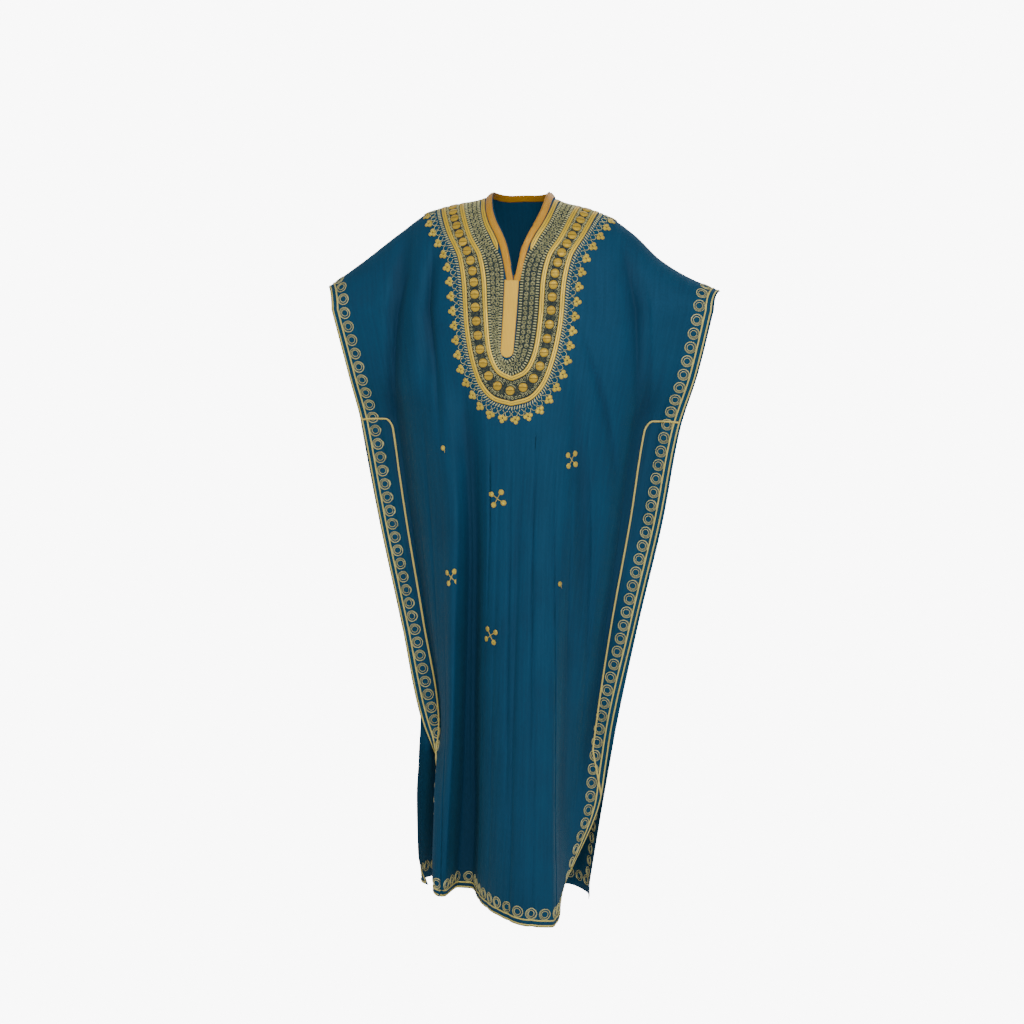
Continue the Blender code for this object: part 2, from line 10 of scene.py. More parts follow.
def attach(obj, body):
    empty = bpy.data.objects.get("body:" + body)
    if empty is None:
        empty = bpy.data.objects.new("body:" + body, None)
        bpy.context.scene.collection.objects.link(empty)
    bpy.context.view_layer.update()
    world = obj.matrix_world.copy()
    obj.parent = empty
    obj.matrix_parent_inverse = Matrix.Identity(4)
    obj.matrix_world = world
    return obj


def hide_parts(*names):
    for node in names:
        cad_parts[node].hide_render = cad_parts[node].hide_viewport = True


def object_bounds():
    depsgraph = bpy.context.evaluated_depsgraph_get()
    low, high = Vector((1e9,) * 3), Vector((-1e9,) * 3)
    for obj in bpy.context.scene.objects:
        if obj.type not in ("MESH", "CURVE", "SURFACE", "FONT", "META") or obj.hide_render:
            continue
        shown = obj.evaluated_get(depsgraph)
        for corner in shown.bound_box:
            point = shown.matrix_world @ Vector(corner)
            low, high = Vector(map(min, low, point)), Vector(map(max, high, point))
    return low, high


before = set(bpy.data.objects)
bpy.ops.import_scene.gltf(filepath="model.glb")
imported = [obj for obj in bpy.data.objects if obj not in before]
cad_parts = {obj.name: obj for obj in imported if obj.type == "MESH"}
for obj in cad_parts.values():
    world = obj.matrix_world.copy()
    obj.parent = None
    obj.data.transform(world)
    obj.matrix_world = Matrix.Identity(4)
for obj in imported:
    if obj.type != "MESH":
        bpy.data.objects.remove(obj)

# A moroccan kaftan in petrol blue crepe, worn shape, nobody in it. Metres, the front faces -Y.
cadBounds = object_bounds()
garment = bpy.data.collections.new("kaftanLooks")
bpy.context.scene.collection.children.link(garment)


# node helpers, for shaders and for Geometry Nodes

class Term:
    # one output of a node; arithmetic on it adds Math nodes
    def __init__(self, bench, socket):
        self.bench = bench
        self.socket = socket

    def __add__(self, other):
        return self.bench.math("ADD", self, other)

    def __sub__(self, other):
        return self.bench.math("SUBTRACT", self, other)

    def __rsub__(self, other):
        return self.bench.math("SUBTRACT", other, self)

    def __mul__(self, other):
        return self.bench.math("MULTIPLY", self, other)

    def __pow__(self, other):
        return self.bench.math("POWER", self, other)

    def __abs__(self):
        return self.bench.math("ABSOLUTE", self)

    __radd__ = __add__
    __rmul__ = __mul__


class Bench:
    # makes the nodes of one tree
    def __init__(self, tree):
        self.tree = tree

    def node(self, kind, settings=None, sockets=None, out=0):
        made = self.tree.nodes.new(kind)
        for key, value in (settings or {}).items():
            setattr(made, key, value)
        for key, value in (sockets or {}).items():
            fits = [s for s in made.inputs if s.enabled and key in (s.name, s.identifier)]
            socket = made.inputs[key] if isinstance(key, int) else fits[0]
            if isinstance(value, Term):
                self.tree.links.new(value.socket, socket)
            else:
                socket.default_value = value
        found = [s for s in made.outputs if s.enabled and out in (0, s.name)]
        return Term(self, found[0])

    def math(self, operation, *values):
        return self.node("ShaderNodeMath", {"operation": operation}, dict(enumerate(values)))

    def sine(self, value):
        return self.math("SINE", value)

    def fraction(self, value):
        return self.math("FRACT", value)

    def smooth(self, value, low, high):
        return self.node("ShaderNodeMapRange", {"interpolation_type": "SMOOTHSTEP"},
                         {"Value": value, "From Min": low, "From Max": high})

    def split(self, vector):
        made = self.node("ShaderNodeSeparateXYZ", {}, {"Vector": vector})
        return [Term(self, socket) for socket in made.socket.node.outputs]

    def vector(self, x, y, z=0.0):
        return self.node("ShaderNodeCombineXYZ", {}, {"X": x, "Y": y, "Z": z})

    def noise(self, vector, scale=1.0, detail=2.0, rough=0.5):
        return self.node("ShaderNodeTexNoise", {}, {"Vector": vector, "Scale": scale,
                                                    "Detail": detail, "Roughness": rough})

    def mixColour(self, share, first, second):
        first, second = [c if isinstance(c, Term) else (*c, 1) for c in (first, second)]
        return self.node("ShaderNodeMix", {"data_type": "RGBA"}, {0: share, 6: first, 7: second})

    def attribute(self, name):
        return self.node("ShaderNodeAttribute", {"attribute_name": name}, {}, "Fac")

    def bump(self, height, distance, strength):
        return self.node("ShaderNodeBump", {}, {"Height": height, "Distance": distance,
                                                "Strength": strength})

    def chart(self):
        # the two directions of the piece's own UV map
        return self.split(self.node("ShaderNodeUVMap", {"uv_map": "UVMap"}))[:2]


def newMaterial(name, fixed):
    # a Principled material; fixed values are set on its own sockets
    made = bpy.data.materials.new(name)
    made.use_nodes = True
    shader = made.node_tree.nodes["Principled BSDF"]
    for key, value in fixed.items():
        shader.inputs[key].default_value = value
    return made, Bench(made.node_tree), shader


def feed(bench, shader, colour=None, rough=None, normal=None, metal=None):
    wired = {"Base Color": colour, "Roughness": rough, "Normal": normal, "Metallic": metal}
    for key, value in wired.items():
        if value is not None:
            bench.tree.links.new(value.socket, shader.inputs[key])


# studio

studio = {
    "cameraAt": (0.448, -3.317, -0.170), "lookAt": (-0.018, 0.0, -0.585), "lens": 61.986,
    "sensor": 36.0, "farthest": 60.0, "floorDrop": 0.095, "floorSize": 9.0, "floorGlow": 9.0,
    "floorSpots": 3.0, "floorShades": ((0.86, 0.86, 0.86), (0.9, 0.9, 0.9)),
    "air": (1.0, 1.0, 1.0), "airStrength": 9.0, "airOnCloth": 0.34,
    # name, place, aim, size, watts, colour
    "lamps": [
        ("keyLamp", (0.75, -3.4, 1.35), (0.0, 0.0, -0.45), 1.3, 80.0, (1.0, 0.985, 0.96)),
        ("fillLamp", (2.4, -2.8, 0.4), (0.0, 0.0, -0.7), 2.6, 11.0, (0.97, 0.985, 1.0)),
        ("backLamp", (0.3, 2.8, 1.6), (0.0, 0.0, -0.6), 2.4, 26.0, (1.0, 1.0, 1.0)),
    ],
}


def stand(name, data, place, aim):
    # a camera or a lamp, turned to look at a point
    made = bpy.data.objects.new(name, data)
    made.location = place
    made.rotation_euler = (Vector(aim) - Vector(place)).to_track_quat("-Z", "Y").to_euler()
    bpy.context.scene.collection.objects.link(made)
    return made


def setLights():
    camera = stand("camera", bpy.data.cameras.new("camera"), studio["cameraAt"], studio["lookAt"])
    camera.data.lens = studio["lens"]
    camera.data.sensor_width = studio["sensor"]
    camera.data.clip_end = studio["farthest"]
    bpy.context.scene.camera = camera
    for name, place, aim, size, watts, colour in studio["lamps"]:
        lamp = stand(name, bpy.data.lights.new(name, "AREA"), place, aim)
        lamp.data.energy = watts
        lamp.data.size = size
        lamp.data.color = colour
    # the air is bright behind the garment and dim on the cloth
    world = bpy.data.worlds.new("paleAir")
    world.use_nodes = True
    air = world.node_tree.nodes["Background"]
    air.inputs["Color"].default_value = (*studio["air"], 1)
    direct = Bench(world.node_tree).node("ShaderNodeLightPath", {}, {}, "Is Camera Ray")
    strength = direct * (studio["airStrength"] - studio["airOnCloth"]) + studio["airOnCloth"]
    world.node_tree.links.new(strength.socket, air.inputs["Strength"])
    bpy.context.scene.world = world


def setFloor():
    # a pale floor that glows as brightly as the air where it is seen directly
    half = studio["floorSize"] / 2
    low = cadBounds[0][2] - studio["floorDrop"]
    mesh = bpy.data.meshes.new("floor")
    mesh.from_pydata([(-half, -half, low), (half, -half, low), (half, half, low),
                      (-half, half, low)], [], [(0, 1, 2, 3)])
    paint, bench, shader = newMaterial("paleFloor", {"Roughness": 0.9})
    spots = bench.noise(bench.node("ShaderNodeTexCoord", {}, {}, "Object"), studio["floorSpots"])
    feed(bench, shader, bench.mixColour(spots, *studio["floorShades"]))
    direct = bench.node("ShaderNodeLightPath", {}, {}, "Is Camera Ray")
    glow = bench.node("ShaderNodeEmission", {}, {"Strength": studio["floorGlow"]})
    both = bench.node("ShaderNodeMixShader", {},
                      {0: direct, 1: Term(bench, shader.outputs[0]), 2: glow})
    output = paint.node_tree.nodes["Material Output"]
    paint.node_tree.links.new(both.socket, output.inputs["Surface"])
    mesh.materials.append(paint)
    floor = bpy.data.objects.new("floor", mesh)
    bpy.context.scene.collection.objects.link(floor)


setLights()
setFloor()
print("studio: camera, three soft lamps and the floor")


# cloth: two panels, each a cage of named lines that run from the shoulder line to the hem

kaftanCut = {
    "cutLength": 1.36, "cutWidth": 0.82, "area": 0.95, "reach": 0.372, "rollShare": 0.17,
    "chestZ": -0.20, "hemZ": -1.33, "sleeveZ": -0.41, "neckHalf": 0.14, "backNeck": 0.055,
    "apart": 0.0003,
    "levels": [-0.20, -0.32, -0.42, -0.60, -0.80, -1.00, -1.07, -1.14, -1.26, -1.33],
    "hemAcross": (-1, -0.3, 0, 0.35, 1),
    "shoulderX": [-0.372, -0.300, -0.230, -0.170, -0.115, -0.068, -0.052, 0.0,
                  0.052, 0.068, 0.115, 0.160, 0.210, 0.260, 0.310, 0.372],
    "shoulderZ": [-0.158, -0.108, -0.056, -0.017, -0.004, 0.006, 0.018, 0.045,
                  0.018, 0.002, -0.012, -0.027, -0.061, -0.108, -0.139, -0.166],
    # right half of the neck slit, from the shoulder line to its bottom, as x and z
    "neckEdge": [(0.052, 0.018), (0.047, -0.010), (0.038, -0.035), (0.025, -0.058),
                 (0.015, -0.080), (0.008, -0.106), (0.0, -0.145)],
}

# Both tables are in thousandths: of the half width for places and widths across, else of a metre.
# lines: name, place across, x at each level, y at each level
# folds: name, places across of top and bottom, their heights, half width across, depth
# creases: places across of top and bottom, their heights, half width across, depth, sway across
frontCut = {
    "hem": (-1316, -1330, -1333, -1347, -1335),
    "lines": [
        ("leftEdge", -1000,
         [-356, -329, -310, -279, -236, -195, -166, -138, -140, -168],
         [-45, -30, -2, 4, -2, -6, 0, -30, -32, -45]),
        ("leftFlap", -890,
         [-317, -293, -278, -249, -212, -178, -163, -150, -153, -166],
         [-50, -35, -2, 0, -6, -4, -18, -42, -46, -62]),
        ("leftSeam", -785,
         [-279, -259, -245, -220, -189, -160, -160, -160, -163, -160],
         [-55, -40, -0.9, -0.9, -0.9, -0.9, -36, -64, -70, -75]),
        ("leftSide", -620,
         [-220, -205, -195, -175, -158, -146, -147, -148, -150, -151],
         [-66, -74, -64, -65, -62, -52, -68, -82, -86, -84]),
        ("ridge", -420,
         [-149, -125, -115, -105, -111, -118, -122, -127, -135, -139],
         [-92, -114, -124, -130, -120, -105, -101, -96, -82, -72]),
        ("troughLeft", -340,
         [-120, -98, -88, -84, -92, -102, -105, -109, -118, -124],
         [-102, -120, -114, -98, -68, -45, -37, -30, -20, -14]),
        ("troughRight", -270,
         [-95, -82, -75, -71, -78, -85, -86, -87, -93, -98],
         [-108, -124, -118, -100, -70, -46, -38, -30, -18, -12]),
        ("frontLeft", -160,
         [-55, -50, -46, -44, -50, -56, -58, -60, -66, -70],
         [-112, -131, -136, -136, -126, -116, -113, -108, -91, -80]),
        ("middle", 0,
         [2, 3, 4, 0, -6, -12, -14, -16, -22, -26],
         [-112, -132, -140, -145, -150, -155, -156, -157, -150, -145]),
        ("frontRight", 200,
         [74, 68, 62, 50, 44, 40, 38, 36, 32, 30],
         [-108, -128, -138, -147, -158, -169, -172, -174, -175, -176]),
        ("crease", 340,
         [124, 110, 98, 85, 81, 80, 80, 80, 81, 81],
         [-99, -118, -128, -137, -144, -152, -155, -158, -159, -160]),
        ("turn", 460,
         [167, 150, 136, 117, 99, 90, 88, 87, 88, 88],
         [-86, -100, -104, -104, -98, -98, -100, -105, -115, -122]),
        ("rightSide", 620,
         [225, 206, 188, 165, 137, 114, 108, 103, 93, 87],
         [-67, -73, -64, -60, -54, -50, -54, -62, -80, -92]),
        ("rightSeam", 785,
         [284, 260, 231, 204, 171, 143, 135, 127, 101, 83],
         [-56, -41, -0.9, -0.9, -0.9, -0.9, -14, -34, -57, -70]),
        ("rightFlap", 890,
         [322, 296, 266, 235, 196, 162, 153, 143, 105, 79],
         [-50, -35, -2, 2, -6, -4, -10, -22, -42, -55]),
        ("rightEdge", 1000,
         [360, 332, 300, 267, 221, 179, 169, 158, 109, 74],
         [-45, -30, -2, -3, 2, -6, -9, -12, -28, -40]),
    ],
    "folds": [
        ("leftShoulder", -550, -740, -20, -400, 50, 12),
        ("leftRoll", -490, -620, -60, -460, 50, -6),
        ("besideYoke", -400, -540, -60, -360, 36, 8),
        ("leftHip", -530, -520, -450, -1020, 50, 6),
        ("rightShoulder", 520, 700, -40, -380, 50, 10),
        ("rightBreast", 340, 600, -280, -840, 45, 10),
        ("rightHip", 470, 710, -300, -600, 35, 6),
        ("middleDrop", 40, 60, -400, -1260, 40, 4),
    ],
    "creases": [
        (-560, -775, -120, -420, 16, 8.5, 6), (-660, -800, -140, -500, 14, 5, -5),
        (-440, -480, -80, -460, 18, 9, 4), (-765, -765, -410, -950, 14, 5.5, 3),
        (-660, -700, -400, -1100, 18, 5, 8), (-550, -600, -360, -920, 12, 4, 4),
        (-500, -520, -460, -1330, 12, 3.5, 6), (-300, -290, -420, -1200, 8, -4, -4),
        (-184, -165, -410, -1330, 9, 6.5, 4), (-140, -150, -430, -860, 7, 4.5, 3),
        (-85, -90, -440, -1330, 12, 3.5, 6), (-20, 30, -420, -1120, 10, 5.5, -4),
        (60, 85, -600, -1330, 12, 3.5, 6), (140, 215, -410, -1160, 10, 5.5, 4),
        (190, 235, -560, -1330, 10, 3.5, -4), (288, 395, -405, -1330, 7, 9, 3),
        (350, 500, -320, -950, 10, 5, 4), (288, 674, -200, -520, 16, 6, 4),
        (437, 660, -380, -1000, 12, 6, 4), (540, 700, -500, -1180, 14, 4.5, -6),
        (500, 740, -60, -440, 16, 6, 5), (620, 780, -120, -400, 14, 4, -4),
        (720, 765, -400, -1040, 12, 4.5, 4), (880, 870, -200, -700, 16, 3.5, 4),
        (-880, -880, -220, -900, 16, 3.5, -4),
    ],
}
backCut = {
    "hem": (-1318, -1335, -1350, -1355, -1362),
    "lines": [
        ("leftEdge", -1000,
         [-356, -329, -312, -281, -238, -200, -200, -203, -200, -173],
         [45, 30, 2, 9, 3, 4, -14, -20, -24, -43]),
        ("leftFlap", -890,
         [-317, -293, -278, -249, -213, -188, -194, -198, -199, -193],
         [50, 35, 2, 4, -1, 6, 1, -4, -7, -20]),
        ("leftSeam", -785,
         [-279, -259, -245, -220, -189, -160, -186, -191, -195, -200],
         [55, 40, 0.9, 0.9, 0.9, 0.9, 12, 12, 10, 4]),
        ("leftSide", -600,
         [-213, -200, -190, -172, -158, -152, -170, -182, -185, -186],
         [66, 66, 56, 52, 50, 55, 52, 46, 45, 44]),
        ("leftFold", -400,
         [-141, -130, -122, -112, -108, -110, -120, -132, -137, -140],
         [84, 92, 90, 88, 94, 104, 100, 96, 100, 104]),
        ("leftTrough", -200,
         [-70, -64, -60, -56, -54, -56, -61, -66, -69, -70],
         [92, 96, 90, 84, 82, 84, 82, 80, 79, 78]),
        ("middle", 0,
         [2, 3, 3, 0, -4, -8, -11, -14, -17, -18],
         [92, 96, 94, 94, 104, 116, 118, 120, 124, 126]),
        ("rightTrough", 200,
         [74, 68, 62, 54, 46, 38, 35, 32, 31, 30],
         [92, 96, 90, 84, 82, 84, 83, 82, 81, 80]),
        ("rightFold", 400,
         [146, 132, 120, 108, 98, 88, 84, 82, 81, 80],
         [84, 92, 90, 88, 94, 106, 108, 110, 113, 114]),
        ("rightSide", 600,
         [218, 198, 180, 160, 142, 126, 121, 118, 117, 116],
         [66, 66, 54, 50, 50, 56, 61, 68, 79, 86]),
        ("rightSeam", 785,
         [284, 260, 231, 204, 171, 143, 142, 141, 132, 126],
         [55, 40, 0.9, 0.9, 0.9, 0.9, 14, 34, 58, 72]),
        ("rightFlap", 890,
         [322, 296, 266, 235, 197, 164, 158, 152, 137, 128],
         [50, 35, 2, 6, -1, 4, 12, 24, 46, 60]),
        ("rightEdge", 1000,
         [360, 332, 302, 270, 225, 185, 173, 161, 141, 129],
         [45, 30, 2, 3, 7, 4, 6, 12, 33, 48]),
    ],
    "folds": [
        ("leftShoulder", -520, -700, -40, -400, 50, -10),
        ("rightShoulder", 500, 680, -40, -400, 50, -10),
        ("leftBlade", -300, -480, -240, -900, 50, -8),
        ("rightBlade", 280, 500, -240, -900, 50, -8),
    ],
    "creases": [
        (-540, -770, -80, -440, 16, -8, 5), (-420, -620, -90, -400, 14, -5.5, -5),
        (-660, -800, -140, -560, 14, -4.5, 4), (-660, -700, -460, -1160, 16, -5, 5),
        (-500, -550, -400, -1330, 14, -6, 7), (-360, -330, -220, -1000, 12, -5.5, 6),
        (-290, -280, -700, -1330, 10, 3.5, -5), (-220, -210, -260, -1330, 10, -6, 4),
        (-120, -100, -260, -920, 12, -4, 6), (-30, -50, -600, -1330, 12, -5, 6),
        (80, 100, -300, -1140, 10, -5, -6), (150, 140, -800, -1330, 10, 3, 4),
        (210, 220, -260, -1330, 9, -6.5, 4), (300, 350, -400, -1330, 12, -5.5, 6),
        (460, 540, -240, -900, 12, -5, -5), (560, 680, -500, -1200, 14, -5, 6),
        (520, 760, -80, -460, 16, -8, 5), (420, 600, -60, -360, 14, -5, -4),
        (700, 800, -180, -660, 14, -4.5, 4),
    ],
}


def slopes(knots, values):
    # slopes at the knots of a curve through the values that never overshoots them
    step = np.diff(knots).reshape((-1,) + (1,) * (values.ndim - 1))
    rise = np.diff(values, axis=0) / step
    level = rise[:-1] * rise[1:] <= 0
    before = np.where(level, 1.0, rise[:-1])
    after = np.where(level, 1.0, rise[1:])
    weightBefore = 2 * step[1:] + step[:-1]
    weightAfter = step[1:] + 2 * step[:-1]
    blend = (weightBefore + weightAfter) / (weightBefore / before + weightAfter / after)
    return np.concatenate([rise[:1], np.where(level, 0.0, blend), rise[-1:]])


def smoothCurve(knots, values, where):
    # reads a smooth curve through the values, one row for each knot
    knots = np.asarray(knots, float)
    values = np.asarray(values, float)
    where = np.clip(np.asarray(where, float), knots[0], knots[-1])
    cell = np.clip(np.searchsorted(knots, where) - 1, 0, len(knots) - 2)
    slope = slopes(knots, values)
    if values.ndim == 3:
        pick = np.arange(len(where))
        corner, other = (cell, pick), (cell + 1, pick)
    else:
        corner, other = cell, cell + 1
    width = (knots[cell + 1] - knots[cell])[:, None]
    t = (where - knots[cell])[:, None] / width
    start = values[corner] * (1 + 2 * t) * (1 - t) ** 2 + slope[corner] * width * t * (1 - t) ** 2
    end = values[other] * t * t * (3 - 2 * t) + slope[other] * width * t * t * (t - 1)
    return start + end


def unit(vectors):
    return vectors / np.linalg.norm(vectors, axis=1)[:, None]


def travelled(places):
    # the distance along a path to each of its places
    return np.concatenate([[0], np.cumsum(np.linalg.norm(np.diff(places, axis=0), axis=1))])


def shoulderHeight(x):
    return smoothCurve(kaftanCut["shoulderX"], np.array(kaftanCut["shoulderZ"])[:, None],
                       np.atleast_1d(x))[:, 0]


class Panel:
    # one panel of cloth; u runs -1 to 1 across it and v 0 to 1 down it
    def __init__(self, cut, side):
        self.side = side
        self.hem = np.array(cut["hem"]) / 1000
        self.across = np.array([line[1] for line in cut["lines"]]) / 1000
        self.cage = np.array([line[2:] for line in cut["lines"]]) / 1000
        self.folds = np.array([fold[1:] for fold in cut["folds"]]) / 1000
        self.creases = np.array(cut["creases"]) / 1000

    def foldDepth(self, u, z):
        depth = np.zeros_like(u)
        for top, bottom, zTop, zBottom, half, deep in self.folds:
            along = np.clip((zTop - z) / (zTop - zBottom), 0, 1)
            centre = top + (bottom - top) * along
            depth += deep * np.sin(math.pi * along) ** 0.7 * np.exp(-(((u - centre) / half) ** 2))
        return depth

    def creaseDepth(self, u, z):
        # finer soft creases, which wander a little, widen downwards and may run out at the hem
        depth = np.zeros_like(u)
        for top, bottom, zTop, zBottom, half, deep, sway in self.creases:
            along = np.clip((zTop - z) / (zTop - zBottom), 0, 1)
            centre = top + (bottom - top) * along ** 0.85 + sway * np.sin(5.3 * along + 40 * top)
            fade = np.sin(math.pi * along * (1 if zBottom > kaftanCut["hemZ"] else 0.5))
            width = half * (0.8 + 0.5 * along)
            depth += deep * np.maximum(fade, 0) ** 0.8 / (1 + ((u - centre) / width) ** 2) ** 2
        return depth

    def hang(self, u, z):
        levels = np.array(kaftanCut["levels"][::-1])
        table = self.cage[:, :, ::-1].transpose(2, 0, 1).reshape(len(levels), -1)
        atZ = smoothCurve(levels, table, z).reshape(len(z), len(self.across), 2)
        return smoothCurve(self.across, atZ.transpose(1, 0, 2), u)

    def place(self, u, v):
        u, v = np.broadcast_arrays(np.atleast_1d(np.asarray(u, float)), np.asarray(v, float))
        chestZ, share = kaftanCut["chestZ"], kaftanCut["rollShare"]
        roll = np.clip(v / share, 0, 1) * math.pi / 2
        below = np.clip((v - share) / (1 - share), 0, 1)
        hung = chestZ + (np.interp(u, kaftanCut["hemAcross"], self.hem) - chestZ) * below
        at = self.hang(u, hung)
        ridgeX = kaftanCut["reach"] * u
        ridgeZ = shoulderHeight(ridgeX)
        x = ridgeX + (at[:, 0] - ridgeX) * np.sin(roll)
        z = np.where(v < share, ridgeZ + (chestZ - ridgeZ) * (1 - np.cos(roll)), hung)
        deep = self.foldDepth(u, z) + self.creaseDepth(u, z)
        y = at[:, 1] * np.sin(roll) + deep * np.sin(roll) + self.side * kaftanCut["apart"]
        return np.stack([x, y, z], axis=1)

    def outward(self, u, v):
        step = 0.004
        across = self.place(np.clip(u + step, -1, 1), v) - self.place(np.clip(u - step, -1, 1), v)
        along = self.place(u, np.clip(v + step, 0, 1)) - self.place(u, np.clip(v - step, 0, 1))
        return unit(np.cross(along, across) * self.side * -1)

    def down(self, u, z):
        # the share down at which the line u reaches height z
        ridge = float(shoulderHeight(kaftanCut["reach"] * u)[0])
        chestZ, share = kaftanCut["chestZ"], kaftanCut["rollShare"]
        if z > chestZ:
            return share * math.acos(1 - max(ridge - z, 0) / (ridge - chestZ)) / (math.pi / 2)
        hem = np.interp(u, kaftanCut["hemAcross"], self.hem)
        return share + (1 - share) * (chestZ - z) / (chestZ - hem)


frontSheet = Panel(frontCut, -1)
backSheet = Panel(backCut, 1)


def neckStart(panel, u):
    # how far down the panel starts, which cuts the neck opening
    neckHalf = kaftanCut["neckHalf"]
    if abs(u) >= neckHalf:
        return 0.0
    if panel.side > 0:
        return kaftanCut["backNeck"] * math.sqrt(1 - (u / neckHalf) ** 2)
    edge = sorted(kaftanCut["neckEdge"])
    height = np.interp(abs(u) * kaftanCut["reach"], [x for x, z in edge], [z for x, z in edge])
    return panel.down(u, height)


# the spans and depth of the painted fold shade: how far to each side the cloth is compared, and
# how deep a fold gets the whole shade
clothGrid = {"neckColumns": 44, "sideColumns": 100, "rolledRows": 24, "hungRows": 132,
             "thickness": 0.0015, "hollowSpans": (0.05, 0.10), "hollowDepth": 0.03}


def mark(mesh, name, values):
    # a number or a vector for each point of a mesh
    values = np.asarray(values, np.float32)
    kind, field = ("FLOAT", "value") if values.ndim == 1 else ("FLOAT_VECTOR", "vector")
    mesh.attributes.new(name, kind, "POINT").data.foreach_set(field, values.ravel())


def drawChart(mesh, flat):
    # the UV map, given corner by corner
    layer = mesh.uv_layers.new(name="UVMap")
    layer.data.foreach_set("uv", np.asarray(flat, np.float32).ravel())


def panelMesh(name, panel):
    # an open grid of quads, its UV map in metres of the flat cut
    neckHalf = kaftanCut["neckHalf"]
    turn = np.linspace(-math.pi / 2, math.pi / 2, clothGrid["neckColumns"] + 1)
    side = np.linspace(neckHalf, 1, clothGrid["sideColumns"] + 1)[1:]
    across = np.concatenate([-side[::-1], neckHalf * np.sin(turn), side])
    share = kaftanCut["rollShare"]
    down = np.concatenate([np.linspace(0, share, clothGrid["rolledRows"], endpoint=False),
                           np.linspace(share, 1, clothGrid["hungRows"] + 1)])
    starts = np.array([neckStart(panel, u) for u in across])
    u = np.tile(across, len(down))
    v = (starts[None, :] + (1 - starts[None, :]) * down[:, None]).ravel()
    points = panel.place(u, v)
    wide = len(across)
    corner = (np.arange(len(down) - 1)[:, None] * wide + np.arange(wide - 1)[None, :]).ravel()
    quads = np.stack([corner, corner + 1, corner + wide + 1, corner + wide], axis=1)
    if panel.side < 0:
        quads = quads[:, ::-1]
    mesh = bpy.data.meshes.new(name)
    mesh.from_pydata(points.tolist(), [], quads.tolist())
    mesh.shade_smooth()
    flat = np.stack([u * kaftanCut["cutWidth"] / 2, -v * kaftanCut["cutLength"]], axis=1)
    drawChart(mesh, flat[quads.ravel()])
    # how deep each point lies in a fold, which the crepe darkens as painted shade
    mark(mesh, "hollow", hollows(panel, u, v))
    return mesh


def hollows(panel, u, v):
    # 0 to 1: how far a point lies behind the cloth on both sides of it, as at the bottom of a
    #         fold; the crepe paints shade there
    middle = panel.place(u, v)[:, 1]
    found = np.zeros_like(u)
    for reach in clothGrid["hollowSpans"]:
        sides = [panel.place(np.clip(u + reach * hand, -1, 1), v)[:, 1] for hand in (-1, 1)]
        behind = (middle - (sides[0] + sides[1]) / 2) * -panel.side
        found = np.maximum(found, np.clip(behind / clothGrid["hollowDepth"], 0, 1))
    return found


def surfaceOf(*meshes):
    # panels as one surface that rays can be cast on
    corners, faces = [], []
    for mesh in meshes:
        first = len(corners)
        corners += [v.co.copy() for v in mesh.vertices]
        faces += [[first + i for i in p.vertices] for p in mesh.polygons]
    return BVHTree.FromPolygons(corners, faces)


frontMesh = panelMesh("frontPanel", frontSheet)
backMesh = panelMesh("backPanel", backSheet)
frontSurface = surfaceOf(frontMesh)
print("cloth: two panels,", len(frontMesh.polygons) + len(backMesh.polygons), "quads")


# finishes

# streaks and crinkles: the scale of each pattern across and down the cloth; deep and lit are the
# crepe's dark and light tones, and the next share darkens the bottoms of folds towards deep as
# painted shade
crepe = {"deep": (0.0012, 0.0400, 0.0940), "lit": (0.0030, 0.0680, 0.1500), "hollow": 0.66,
         "streaks": (150.0, 7.0), "crinkles": (900.0, 210.0), "clouds": 9.0, "threadPitch": 0.0011}


def petrolCrepe():
    # soft crepe: fine lengthwise crinkles, a plain weave and a little cloudiness, with painted
    # shade darkening the bottoms of folds
    made, bench, shader = newMaterial("petrolCrepe", {
        "Sheen Weight": 0.10, "Sheen Roughness": 0.45, "Sheen Tint": (0.20, 0.62, 0.85, 1),
        "Specular IOR Level": 0.28})
    u, v = bench.chart()
    across, down = crepe["streaks"]
    streak = bench.noise(bench.vector(u * across, v * down), 1.0, 3.0, 0.62)
    across, down = crepe["crinkles"]
    crinkle = bench.noise(bench.vector(u * across, v * down), 1.0, 2.0, 0.6)
    cloud = bench.noise(bench.vector(u, v), crepe["clouds"], 3.0, 0.55)
    turn = 2 * math.pi / crepe["threadPitch"]
    weave = bench.sine(u * turn) * bench.sine(v * turn)
    hollow = bench.attribute("hollow")
    # painted shade: the colour darkens towards deep where a point lies at the bottom of a fold
    share = streak * 0.44 + crinkle * 0.20 + cloud * 0.38 + weave * 0.05 - hollow * crepe["hollow"]
    colour = bench.mixColour(bench.smooth(share, 0.11, 0.80), crepe["deep"], crepe["lit"])
    rough = 0.80 - streak * 0.14 - weave * 0.03
    relief = bench.bump(streak * 0.0010 + crinkle * 0.00035 + weave * 0.00010, 1.0, 0.55)
    feed(bench, shader, colour, rough, relief)
    return made


